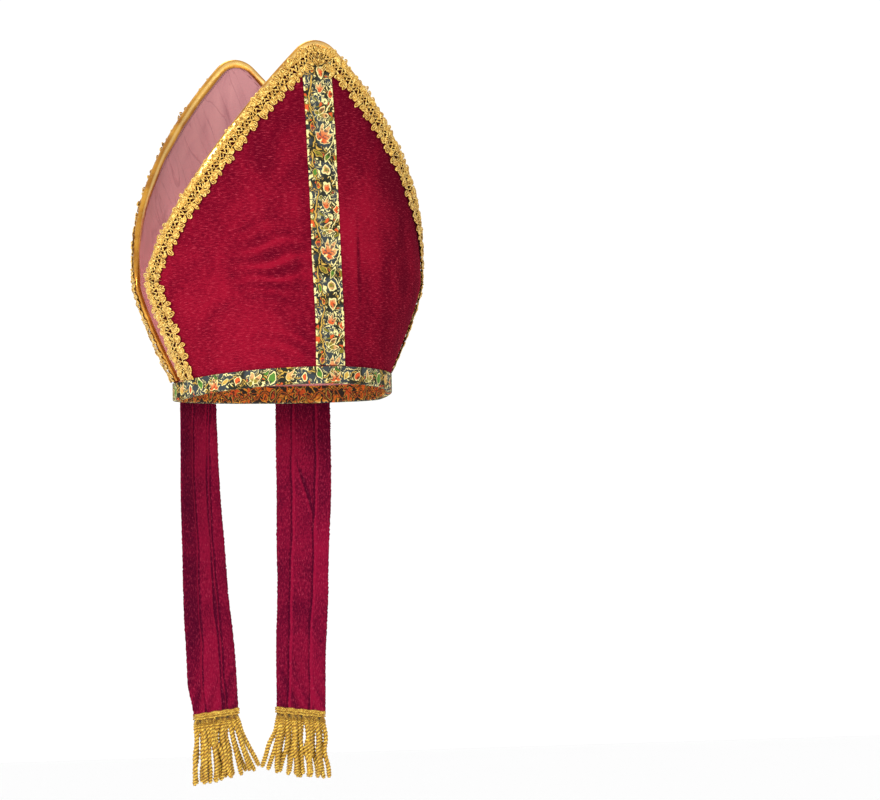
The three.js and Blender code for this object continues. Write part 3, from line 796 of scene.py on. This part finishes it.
# Thread colours run from painted shade through the gold's own colour to a painted highlight
GOLD_LACE = gold_thread_finish("gold_lace_thread", (0.25, 0.088, 0.007), (0.54, 0.295, 0.03),
                               (0.95, 0.80, 0.28), 620)
GOLD_CORD = gold_thread_finish("gold_cord", (0.28, 0.115, 0.006), (0.50, 0.28, 0.014),
                               (0.80, 0.58, 0.09), 500)
STRIPE_BROCADE = brocade_finish("stripe_brocade", STRIPE_MOTIFS, (CREAM, STRAW, OLIVE, ORANGE), STRIPE_VINES)
BAND_BROCADE = brocade_finish("band_brocade", BAND_MOTIFS, (CREAM, STRAW, LEAF, ORANGE), BAND_VINES,
                              (UMBER, (0.66, 0.27, 0.026), (0.62, 0.12, 0.010)), edged=False)
LAPPET_BROCADE = brocade_finish("lappet_brocade", LAPPET_MOTIFS, (STRAW, OLIVE, LEAF, ORANGE), LAPPET_VINES)


# The panels and their linings


def drag_arcs(arc, z, phase=0.0):
    """Nested bows of drag beside the front stripe."""
    bow = np.hypot(arc + 0.045, z - 0.03) + 0.004 * np.sin(arc * 70 + z * 50)
    bow += 0.0015 * ripple(arc * 90, z * 90, 7)
    return np.sin(bow * 450 + phase) * bell(arc, -0.047, 0.034) * bell(z, 0.11, 0.036)


def back_ribs(arc, z):
    """Upright ribs beside the middle of the back velvet."""
    return np.sin(arc * 900 + 2 * np.sin(z * 30)) * bell(arc, -0.02, 0.035) * bell(z, 0.13, 0.1)


def panel_painted_shading(panel, arc, z):
    """Painted shade and light of the velvet's folds, ribs and creases and of its sides turned from the light,
    from -1 for dark to 1 for pale.
    """
    if panel == "back":
        # Painted light and shade on the back's ribs, and painted shade towards its sides
        return 0.6 * back_ribs(arc, z) - 0.4 * smooth((abs(arc) - 0.06) / 0.05)
    # Painted highlights on the bows of drag, with fainter painted shade between them
    bow = drag_arcs(arc, z, 1.4)
    bows = 3.4 * np.maximum(bow, 0) ** 3 + 0.6 * np.minimum(bow, 0)
    # Painted shade towards the top and on the far side
    top = -0.5 * smooth((z - 0.15) / 0.1)
    far_side = -0.6 * smooth((arc - 0.045) / 0.045) * (0.2 + 0.8 * smooth((z - 0.03) / 0.06))
    # A painted dark line in the crease with a painted pale line beside it, and painted light beside the
    # crease and low on the opposite side
    crease = (0.9 * bell(arc, 0.0305, 0.005) - 2.4 * bell(arc, 0.0350, 0.0018)) * bell(z, 0.112, 0.032)
    beside_crease = bell(arc, 0.03, 0.024) * bell(z, 0.135, 0.03)
    low = 0.15 * bell(arc, -0.05, 0.06) * bell(z, 0.05, 0.06)
    # Painted light and shade on small waves near the foot and on pleats on the far side
    waves = np.sin(z * 420 + 14 * np.sin(arc * 26)) * bell(arc, -0.03, 0.04) * bell(z, 0.036, 0.015)
    pleats = np.sin(arc * 210) * smooth((arc - 0.045) / 0.02) * bell(z, 0.09, 0.06)
    return bows + top + far_side + crease + beside_crease + low + 0.5 * waves - 0.3 * pleats


def panel_wrinkles(panel, arc, z):
    """Small hollows and ridges of the velvet, out from the wall."""
    if panel == "front":
        crease = bell(arc, 0.0345, 0.0022) * bell(z, 0.112, 0.035)
        return drag_arcs(arc, z) * 0.00035 - crease * 0.0008 + ripple(arc * 60, z * 45, 3) * 0.00018
    folds = sum(bell(arc, -0.062 - 0.016 * k + 0.05 * (z - 0.05), 0.0035) for k in range(3))
    folds = folds * bell(z, 0.05, 0.045)
    return back_ribs(arc, z) * 0.00022 - folds * 0.0012 + ripple(arc * 60, z * 45, 5) * 0.00018


def lining_wrinkles(panel, arc, z):
    drag = np.sin(arc * 240 + z * 150 + 3 * np.sin(z * 40)) * bell(z, 0.16, 0.12)
    return drag * 0.00025 + ripple(arc * 90, z * 70, 11 if panel == "front" else 13) * 0.0003


def panel_sheet(name, panel, near, thickness, wrinkles, lean, material, node):
    """A cloth cut to the panel's outline, with its face this far out from the velvet's."""
    edge = EDGE[panel]
    columns, rows = (155, 150) if lean else (100, 90)

    def spread(u, v):
        left = edge.inside(v * edge.length / 2, 0)
        arc = left[0] * (1 - 2 * u)
        return arc, left[1]

    def place(u, v):
        arc, z = spread(u, v)
        fade = smooth(from_edge(u, v) / 0.012)
        return on_panel(panel, arc, z, near + wrinkles(panel, arc, z) * fade)

    def from_edge(u, v):
        """Straight in from the slope of the edge beside this row."""
        half = np.abs(edge.inside(v * edge.length / 2, 0)[0])
        run = np.interp(v * edge.length / 2, edge.distance, edge.run[:, 1])
        return half * np.minimum(2 * u, 2 - 2 * u) * run

    marks = {"from_edge": from_edge}
    # The lean mark holds painted shade and light for the velvet's colour
    if lean:
        marks["lean"] = lambda u, v: lean(panel, *spread(u, v))
    piece = sheet_of(name, columns, rows, place, spread, marks)
    merge_seam(piece, 1e-5)
    if panel == "back":
        in_edit_mode(piece, bpy.ops.mesh.flip_normals)
    return done_with_thickness(piece, thickness, -1, material, node)


for panel in FACING:
    panel_sheet(f"{panel}_velvet", panel, 0.0, VELVET_THICKNESS, panel_wrinkles, panel_painted_shading, PANEL_VELVET,
                f"{panel}_panel")
    panel_sheet(f"{panel}_satin", panel, SATIN_OUT, SATIN_THICKNESS, lining_wrinkles, None, SATIN,
                f"{panel}_lining")


# The gold binding


def gold_binding(panel):
    """A bias strip folded over the panel's edge, puckered where it is sewn."""
    edge = EDGE[panel]
    start, stop = BINDING_FOOT, edge.length - BINDING_FOOT
    depth = (0.0003 - INSIDE_OUT) / 2 + 0.0004

    def place(u, v):
        distance = mix(start, stop, u)
        pucker = ripple(distance * 700, v * 9, 21) * 0.00007 + ripple(distance * 200, v * 4, 22) * 0.00016
        reach = BINDING_REACH + ripple(distance * 160, v, 23) * 0.0003
        along = np.clip(v, 0, 1) * 3 - 1
        turn = np.clip(along, 0, 1) * math.pi
        inwards = np.where(along < 0, reach * -along, np.where(along > 1, reach * (along - 1), 0))
        inwards = inwards + np.where((along >= 0) & (along <= 1), -0.0014 * np.sin(turn), 0)
        plump = 0.0004 * np.sin(math.pi * np.clip(inwards / reach, 0, 1))
        side = np.cos(turn)
        out = (0.0003 + INSIDE_OUT) / 2 + side * (depth + plump + pucker)
        return edge.place(distance, inwards, out)

    piece = sheet_of(f"{panel}_gold_binding", 420, 22, place,
                     lambda u, v: (v * BINDING_WIDTH, u * (stop - start)))
    return done_with_thickness(piece, BINDING_THICKNESS, 0, GOLD_STRIP, f"{panel}_binding")


for panel in FACING:
    gold_binding(panel)


# The gold lace

LACE_VARIANTS = 3  # repeats that differ from each other

# Threads of one repeat, in millimetres: radius and steps, then along, in from the edge, and height
LACE_THREADS = [
    (0.62, 10, [(-0.5, 5.6, 0.4), (3, 6.2, 0.8), (6.2, 5.4, 0.4), (9.4, 6.2, 0.8), (13, 5.6, 0.4)]),
    (0.62, 10, [(-0.5, 12.6, 0.7), (3, 12.1, 0.4), (6.2, 12.8, 0.8), (9.4, 12.1, 0.4), (13, 12.6, 0.7)]),
    (0.6, 22, [(-0.5, 9, 1.2), (1, 7.8, 1.4), (3.1, 10.3, 1), (5.2, 7.8, 1.4), (7.3, 10.3, 1),
               (9.4, 7.8, 1.4), (11.5, 10.3, 1), (13, 9, 1.2)]),
]
# Short ties from the outer and from the inner long thread to the middle one: three places along for each
LACE_THREADS += [(0.52, 3, [(a, 5.4, 0.7), (b, 6.8, 1.2), (c, 8.0, 1.3)])
                 for a, b, c in ((1.6, 1.2, 1.0), (4.7, 5.0, 5.2), (9.9, 9.7, 9.4))]
LACE_THREADS += [(0.52, 3, [(a, 12.6, 0.8), (b, 11.4, 1.2), (c, 10.2, 1.3)])
                 for a, b, c in ((2.6, 2.8, 3.1), (7.8, 7.5, 7.3), (11.2, 11.4, 11.5))]
LACE_THREADS += [
    (0.42, 7, [(1.0, 8.6, 2.0), (4.2, 6.2, 1.9), (7.3, 10.4, 2.0)]),
    (0.42, 7, [(5.2, 8.2, 2.0), (8.6, 12.0, 1.8), (11.6, 9.0, 2.0)]),
]
# Petals of one repeat: along, in from the edge, length, width and turn
LACE_PETALS = [
    (2.0, 12.4, 4.2, 2.8, -50), (3.8, 12.6, 5.8, 3.0, -14), (6.3, 12.4, 6.0, 2.8, 18),
    (8.2, 12.4, 4.0, 2.7, 60), (10.4, 12.2, 4.6, 2.7, -6),
    (1.4, 5.9, 4.8, 2.8, 210), (3.4, 5.8, 6.4, 3.0, 184), (5.6, 5.9, 5.0, 2.8, 156),
    (8.4, 5.9, 4.6, 2.8, 200), (10.6, 5.8, 5.6, 2.8, 172),
]


def petal(x, y, length, width, turn):
    """A looped thread, out from its root and back, with a thread down its middle."""
    shape = [(0, 0), (0.5, 0.45), (0.44, 0.84), (0, 1), (-0.44, 0.84), (-0.5, 0.45), (0, 0)]
    cosine, sine = turned(turn)
    loop = []
    for aside, ahead in shape:
        a, b = aside * width, ahead * length
        height = 0.6 + 2.2 * ahead * (1.1 - ahead)
        loop.append((x + a * cosine + b * sine, y - a * sine + b * cosine, height))
    far = (x + 0.8 * length * sine, y + 0.8 * length * cosine, 1.3)
    near = (x, y, 0.9)
    return [(0.62, 13, loop), (0.62, 3, [near, tuple(np.mean([near, far], 0)), far])]


def lace_repeats():
    """A few repeats of the lace side by side, each a little different from the next."""
    rng = np.random.default_rng(35)
    threads = []
    for k in range(LACE_VARIANTS):
        start = k * LACE_PERIOD * 1000
        for radius, steps, points in LACE_THREADS:
            loose = rng.normal(0, 0.3, (len(points), 3))
            loose[[0, -1]] = 0
            threads.append((radius, steps, np.array(points) + loose + [start, 0, 0]))
        for x, y, length, width, turn in LACE_PETALS:
            x, y = start + x + rng.normal(0, 0.45), y + rng.normal(0, 0.35)
            length, width = length * rng.uniform(0.72, 1.22), width * rng.uniform(0.85, 1.25)
            threads += petal(x, y, length, width, turn + rng.normal(0, 14))
    pieces = []
    for radius, steps, points in threads:
        points = np.array(points) * 0.001
        pieces.append(tube("lace_thread", points, radius * 0.001, steps, sides=5, flatten=0.8))
    return joined("lace_repeats", pieces)


def gold_lace(panel, pattern):
    """The repeat set out along the panel's edge, then laid on the cloth round its tip."""
    edge = EDGE[panel]
    reach = LACE_VARIANTS * LACE_PERIOD
    count = math.ceil(edge.length / reach)
    choose(pattern)
    bpy.ops.object.duplicate()
    piece = bpy.context.object
    piece.name = f"{panel}_gold_lace"
    finish_with(piece, "ARRAY", count=count, use_relative_offset=False, use_constant_offset=True,
                constant_offset_displace=(reach, 0, 0))
    shift = (count * reach - edge.length) / 2

    def lay(co):
        along, inwards, height = co[:, 0] - shift, co[:, 1], co[:, 2]
        loose = ripple(along * 520, inwards * 400, 31) * 0.0005
        sway = ripple(along * 90, inwards * 10, 32) * 0.0005
        near_foot = smooth((0.115 - np.minimum(along, edge.length - along)) / 0.04)
        swell = 1 + 0.13 * ripple(along * 260, 0, 33) + 0.28 * near_foot
        inwards = LACE_MIDDLE + (inwards - LACE_MIDDLE) * swell + sway + loose + 0.0015 * near_foot
        inwards = inwards + 0.004 * bell(along, edge.length / 2, 0.03)
        along = along + ripple(inwards * 500, along * 480, 34) * 0.0005
        height = height * (1 + 0.3 * ripple(along * 700, inwards * 600, 35))
        return edge.place(along, inwards, height + 0.0011 + 0.0004 * bell(inwards, 0.003, 0.004))

    move_points(piece, lay)
    in_edit_mode(piece, bpy.ops.mesh.bisect, plane_co=(0, 0, LACE_FOOT), plane_no=(0, 0, 1),
                 clear_inner=True, use_fill=True)
    if panel == "front":
        in_edit_mode(piece, bpy.ops.mesh.flip_normals)
    smooth_faces(piece, 80)
    return done(piece, GOLD_LACE, f"{panel}_lace")


pattern = lace_repeats()
for panel in FACING:
    gold_lace(panel, pattern)
bpy.data.objects.remove(pattern)


# Brocade ribbons and the band


def ribbon_sheet(name, place, flat, material, flip, node):
    piece = sheet_of(name, 24, 160, place, flat)
    if flip:
        in_edit_mode(piece, bpy.ops.mesh.flip_normals)
    return done_with_thickness(piece, RIBBON_THICKNESS, -1, material, node)


def stripe_place(u, v):
    arc = (u - 0.5) * FRONT_STRIPE_WIDTH + 0.0015 * smooth(2 - 2 * v) + ripple(v * 18, u, 41) * 0.0003
    z = mix(TRIM_FOOT + 0.0002, PANEL_HEIGHT - STRIPE_TOP_DROP, v)
    return on_panel("front", arc, z, RIBBON_OUT + ripple(arc * 200, z * 90, 42) * 0.00015)


def stripe_flat(u, v):
    return (u - 0.5) * FRONT_STRIPE_WIDTH, (1 - v) * STRIPE_LENGTH


ribbon_sheet("front_ribbon", stripe_place, stripe_flat, STRIPE_BROCADE, False, "front_stripe")


def band_place(u, v):
    """Round the head opening from the middle of the back, and over the rim from inside to outside."""
    angle = (u - 0.5) * 2 * math.pi
    panel_depth = np.where(np.cos(angle) > 0, RIM_DEPTH["front"], RIM_DEPTH["back"])
    path = v * BAND_WIDTH
    drop = np.clip((path - BAND_SIDE) / BAND_TURN, 0, 1) * math.pi
    past = path - BAND_SIDE - BAND_TURN
    z = np.where(path < BAND_SIDE, BAND_SIDE - path, np.where(past > 0, past, -0.0008 * np.sin(drop)))
    z = np.minimum(z, BAND_HEIGHT)
    out = mix(INSIDE_OUT - 0.0006, 0.0012, (1 - np.cos(drop)) / 2) + ripple(angle * 9, v * 4, 51) * 0.00025
    half_width = plan_half_width(np.maximum(z, 0))
    normal = np.stack([np.sin(angle) / half_width, np.cos(angle) / panel_depth])
    normal = normal / np.linalg.norm(normal, axis=0)
    x = half_width * np.sin(angle) + out * normal[0]
    y = SEAM_Y - panel_depth * np.cos(angle) - out * normal[1]
    arch = RIM_ARCH["front"] * np.maximum(np.cos(angle), 0)
    return np.stack([x, y, z + arch * (1 - np.maximum(z, 0) / PANEL_HEIGHT)], -1)


band = sheet_of("brocade_band", 240, 26, band_place, lambda u, v: ((v - 0.5) * BAND_WIDTH, u * BAND_ROUND))
merge_seam(band)
done_with_thickness(band, BAND_THICKNESS, 0, BAND_BROCADE, "brim_band")


# The lappets

# Lengthwise creases: place across at the band, half way down and at the end, how much paler (above 0) or
# darker (below 0) the outer side of each is painted as light and shade, and how deep it is. All in
# millimetres, from the outer crease inwards.
LAPPET_CREASES = {
    "right": [((5.5, 5.5, 11), -0.5, 1.0), ((-12.5, -8, -7.5), 0.35, 0.9), ((-16, -12, -12), -0.7, 1.1)],
    "left": [((10.7, 9.5, 8), 0.3, 0.9), ((-10.2, -11.5, -13), 0.15, 1.0)],
}
# Painted shade over each lappet's whole inner face
LAPPET_INNER_SHADE = {"right": 0.0, "left": -0.15}
LAPPET_ROWS = 330  # of the cloth's grid, down its length


def crease_places(side, z):
    """Where each crease runs at a height, with the painted light and shade of its outer side, and its depth.
    """
    for places, tone, depth in LAPPET_CREASES[side]:
        wander = 0.0005 * np.sin(z * 60 + places[0]) + 0.0003 * np.sin(z * 150 + places[1])
        yield np.interp(share_down(z), (0, 0.5, 1), places) * 0.001 + wander, tone, depth * 0.001


def off_slant(across, z):
    """How far a point is from the drag that slants across the left lappet, and how far it shows there."""
    down = (-z - 0.06) / 0.042
    return across - mix(-0.0045, 0.009, down), bell(down, 0.5, 0.55)


def slant_painted_shading(across, z):
    # Painted shade in the slanting drag, painted light beside it and on the outer side lower down
    off, shown = off_slant(across, z)
    pale = 0.6 * bell(z, -0.15, 0.04) * smooth((across - 0.0095) / 0.002)
    return shown * (bell(off, -0.0022, 0.0014) - 2 * bell(off, 0, 0.0012)) + pale


def end_drags(across, z):
    """Slanting drags near a lappet's lower end, from -1 to 1."""
    return np.sin((across + (z + LAPPET_DROP) * 0.5) * 420) * bell(z, -LAPPET_DROP, 0.035)


def lappet_painted_shading(side, across, z):
    """Painted shade and light of the inner face's creases and drags, from -1 for dark to 1 for pale."""
    # Painted shade over the face, and more of it near the band
    tone = LAPPET_INNER_SHADE[side] - 0.35 * bell(z, 0, 0.06)
    grown = 0.35 + 0.65 * smooth((-z - 0.03) / 0.09)
    previous = across * 0 + 1
    for middle, outer_tone, _ in crease_places(side, z):
        outside = smooth((across - middle) / 0.003 + 0.5)
        tone = tone + outer_tone * outside * previous * grown
        previous = 1 - outside
        # A painted dark line in each crease and a painted pale line beside it
        tone = tone - 1.6 * bell(across, middle - 0.0002, 0.0008)
        tone = tone + 1.8 * bell(across, middle + 0.0014, 0.0009)
    if side == "left":
        tone = tone + slant_painted_shading(across, z)
    return tone + 0.5 * end_drags(across, z) + ripple(across * 90, z * 60, 63) * 0.2


def lappet_folds(side, across, z):
    """How deep the inner face is creased: lengthwise lines, and slanting drags near the lower end."""
    deep = sum(depth * bell(across, middle, 0.0014) for middle, _, depth in crease_places(side, z))
    soft = ripple(across * 160, z * 40, 61 if side == "left" else 67) * 0.0003
    if side == "left":
        off, shown = off_slant(across, z)
        deep = deep + 0.0009 * bell(off, 0, 0.0013) * shown
    inside_hems = smooth((LAPPET_WIDTH / 2 - np.abs(across)) / 0.004)
    return (deep * smooth((-z - 0.004) / 0.03) + end_drags(across, z) * 0.0005 + soft) * inside_hems


def velvet_lappet(side):
    rng = np.random.default_rng(71 if side == "left" else 72)
    tufts = rng.normal(0, 0.00022, LAPPET_ROWS + 1)

    def across_face(u):
        """From -1 to 1 over the inner face, and back over the outer face."""
        return np.where(u < 0.5, 4 * u - 1, 3 - 4 * u)

    def place(u, v):
        z = mix(-LAPPET_DROP - 0.001, LAPPET_TOP, v)
        face = across_face(u)
        thick = np.sqrt(np.maximum(0, 1 - np.abs(face) ** 9)) * LAPPET_THICKNESS / 2
        inner = u < 0.5
        hem = 1 + 0.25 * bell(z, LAPPET_TOP, 0.004)
        fuzz = tufts[np.rint(v * LAPPET_ROWS).astype(int)] * smooth((np.abs(face) - 0.9) / 0.1)
        across = face * (LAPPET_WIDTH / 2 + fuzz)
        folds = lappet_folds(side, across, z) * inner
        edge_wave = ripple(z * 60, np.sign(face) * np.abs(face) ** 3, 71) * 0.0005
        out = LAPPET_OUT + 0.0002 + LAPPET_THICKNESS / 2 + thick * np.where(inner, -1, 1) * hem + folds
        return on_lappet(side, across + edge_wave, z, out)

    def flat(u, v):
        return u * 2 * LAPPET_WIDTH, mix(-LAPPET_DROP, LAPPET_TOP, v)

    # Painted shade and light for the inner face's colour
    def lean(u, v):
        inner = u < 0.5
        return lappet_painted_shading(side, across_face(u) * LAPPET_WIDTH / 2, mix(-LAPPET_DROP, LAPPET_TOP, v)) * inner

    piece = sheet_of(f"{side}_velvet_lappet", 108, LAPPET_ROWS, place, flat, {"lean": lean})
    merge_seam(piece)
    close_ends(piece)
    face_outwards(piece)
    smooth_faces(piece)
    return done(piece, LAPPET_VELVET, f"{side}_lappet")


def lappet_ribbon(side):
    def place(u, v):
        z = mix(-LAPPET_DROP, LAPPET_TOP - 0.001, v)
        shift = RIBBON_SHIFT * (1 - share_down(z))
        across = (u - 0.5) * RIBBON_WIDTH - shift + ripple(v * 14, u, 81) * 0.0004
        out = LAPPET_OUT + LAPPET_THICKNESS + RIBBON_OUT + ripple(across * 200, z * 60, 82) * 0.0002
        return on_lappet(side, across, z, out)

    def flat(u, v):
        return (u - 0.5) * RIBBON_WIDTH, v * (LAPPET_DROP + LAPPET_TOP)

    return ribbon_sheet(f"{side}_lappet_ribbon", place, flat, LAPPET_BROCADE, HAND[side] > 0,
                        f"{side}_lappet_stripe")


# The fringes

# The cords of a fringe: place along the head from the hat's middle outwards, and lean outwards at the end.
# Then the end's swing aside and the length, in millimetres, in the left fringe and in the right one.
CORDS = [
    (0.02, 2, (-17, 48), (-23, 47)), (0.08, -1, (-14, 50), (-20, 51)), (0.145, 2, (-7, 52), (-14, 50)),
    (0.21, -2, (-9, 51), (-12, 53)), (0.275, 1, (-3, 53), (-7, 52)), (0.34, -2, (-5, 51), (-9, 54)),
    (0.405, 2, (0, 54), (-5, 53)), (0.47, -1, (1, 51), (-3, 55)), (0.535, 2, (-3, 54), (-6, 54)),
    (0.6, -2, (2, 52), (-3, 56)), (0.665, 1, (1, 53), (0, 55)), (0.73, -2, (-3, 50), (-2, 56)),
    (0.79, 2, (2, 53), (2, 54)), (0.855, -1, (3, 51), (-1, 56)), (0.92, 2, (2, 53), (2, 55)),
    (0.98, -1, (5, 52), (3, 56)), (0.11, -3, (-10, 49), (-16, 50)), (0.37, -3, (-2, 52), (-7, 53)),
    (0.63, -3, (0, 53), (-3, 55)), (0.82, -3, (1, 52), (0, 55)),
]


def fringe(side):
    """A woven head with three rows of chain over its core, and twisted cords that hang from it in a row."""
    top = -LAPPET_DROP + 0.0005
    middle = LAPPET_OUT + LAPPET_THICKNESS / 2 + 0.0007

    def at(across, z, out=0.0):
        return on_lappet(side, across, -LAPPET_DROP, middle + out) + [0, 0, z + LAPPET_DROP]

    def along_head(share, margin=0.0):
        half = FRINGE_WIDTH / 2 - margin
        return mix(-half, half, share)

    pieces = []
    for row, down in enumerate((0.0006, 0.0025, 0.0044)):
        height = [top - down + 0.0003 * math.sin(k * 1.3 + row) for k in range(21)]
        for face in (-1, 1):
            points = [at(along_head(k / 20), z, face * 0.0017) for k, z in enumerate(height)]
            turns = 16 * (-1) ** row
            pieces.append(tube("chain", points, 0.001, 200, sides=8, plies=2, turns=turns, taper=0.3))
    # The lower core is painted near black, as the shadow inside the head
    for down, shade in ((0.0024, 0.0), (0.0068, 1.5)):
        core = [at(along_head(k / 8, 0.001), top - down) for k in range(9)]
        pieces.append(tube("core", core, 0.0013, 40, sides=8, flatten=1.9, taper=0.3, shade=shade))
    rng = np.random.default_rng(91 if side == "left" else 92)
    foot = top - FRINGE_HEAD
    for number, (share, lean, *ends) in enumerate(CORDS):
        start = along_head(share, 0.001)
        aside, length = (value * 0.001 for value in ends[side == "right"])
        pinch = 0.0006 * (-1) ** number
        bend = rng.normal(0, 0.0011, 5)
        points = [at(start + pinch, top - 0.0045), at(start + pinch * 1.4, top - 0.0072)]
        for k, down in enumerate((0.06, 0.3, 0.55, 0.8, 1.0)):
            drift = aside * down**1.4 + (bend[k] if k else 0)
            out = lean * 0.001 * smooth(down * 2.5) + bend[-k] * 0.5
            points.append(at(start + drift, foot - length * down, out))
        pieces.append(tube("cord", points, 0.0021, 96, sides=12, plies=2, turns=-12.5, taper=0.4, neck=0.55))
    for k in range(10):
        place = along_head((k + 0.5) / 10)
        start = at(place, top - 0.005, 0.0016 * (-1) ** k)
        end = at(place + 0.0022 * (-1) ** (k // 2), foot - 0.0012, 0.0014 * (-1) ** k)
        pieces.append(tube("loop", [start, (start + end) / 2, end], 0.0008, 8, sides=8, plies=2, turns=1.5))
    piece = joined(f"{side}_cord_fringe", pieces)
    smooth_faces(piece, 80)
    return done(piece, GOLD_CORD, f"{side}_fringe")


for side in HAND:
    lappet = velvet_lappet(side)
    ribbon = lappet_ribbon(side)
    cords = fringe(side)


# Floor, light and camera


def pale_floor():
    clear_selection()
    bpy.ops.mesh.primitive_plane_add(size=60, location=(0, 0, FLOOR_HEIGHT))
    floor = bpy.context.object
    floor.name = "floor"
    bpy.ops.object.transform_apply(location=True)
    paint = Finish("pale_floor", roughness=0.9, base_color=(0.93, 0.93, 0.93, 1))
    floor.data.materials.append(paint.material)


def studio_light():
    world = bpy.data.worlds.new("studio")
    bpy.context.scene.world = world
    world.use_nodes = True
    background = world.node_tree.nodes["Background"]
    background.inputs["Color"].default_value = (1, 1, 1, 1)
    background.inputs["Strength"].default_value = 1.05
    for name, place, aim, size, power in (
        ("key", (-3.0, -2.2, 1.0), (0, 0, 0.1), 1.0, 125),
        ("fill", (1.2, -3.2, 0.4), (0, 0, 0), 1.6, 18),
        ("top", (0.2, 1.2, 2.4), (0, 0, 0.2), 1.2, 26),
    ):
        bpy.ops.object.light_add(type="AREA", location=place)
        lamp = bpy.context.object
        lamp.name = name
        lamp.data.size = size
        lamp.data.energy = power
        lamp.rotation_euler = (Vector(aim) - Vector(place)).to_track_quat("-Z", "Y").to_euler()


def photo_camera():
    """Five metres off, 25 degrees round to the hat's right and a little below it, as in the left view."""
    distance = 5.0
    azimuth, rise, roll = math.radians(25.27), math.radians(-2.56), math.radians(1.19)
    back = Vector((-math.sin(azimuth) * math.cos(rise), -math.cos(azimuth) * math.cos(rise), math.sin(rise)))
    right = Vector((math.cos(azimuth), -math.sin(azimuth), 0))
    up = back.cross(right)
    across = right * math.cos(roll) - up * math.sin(roll)
    upright = right * math.sin(roll) + up * math.cos(roll)
    origin = Vector((0, SEAM_Y, 0))
    eye = origin + back * distance
    aside = (PHOTO_SIZE[0] / 2 - ORIGIN_IN_PHOTO[0]) * PIXEL / distance
    above = (ORIGIN_IN_PHOTO[1] - PHOTO_SIZE[1] / 2) * PIXEL / distance
    forward = (-back + across * aside + upright * above).normalized()
    across = (across - forward * across.dot(forward)).normalized()
    upright = across.cross(forward)
    bpy.ops.object.camera_add(location=eye)
    camera = bpy.context.object
    camera.data.sensor_width = 36
    camera.data.lens = 36 * distance / (PHOTO_SIZE[0] * PIXEL)
    turn = Matrix((across, upright, -forward)).transposed()
    camera.matrix_world = Matrix.Translation(eye) @ turn.to_4x4()
    camera.data.clip_end = 200
    bpy.context.scene.camera = camera


pale_floor()
studio_light()
photo_camera()
bpy.context.scene.view_settings.view_transform = "Standard"
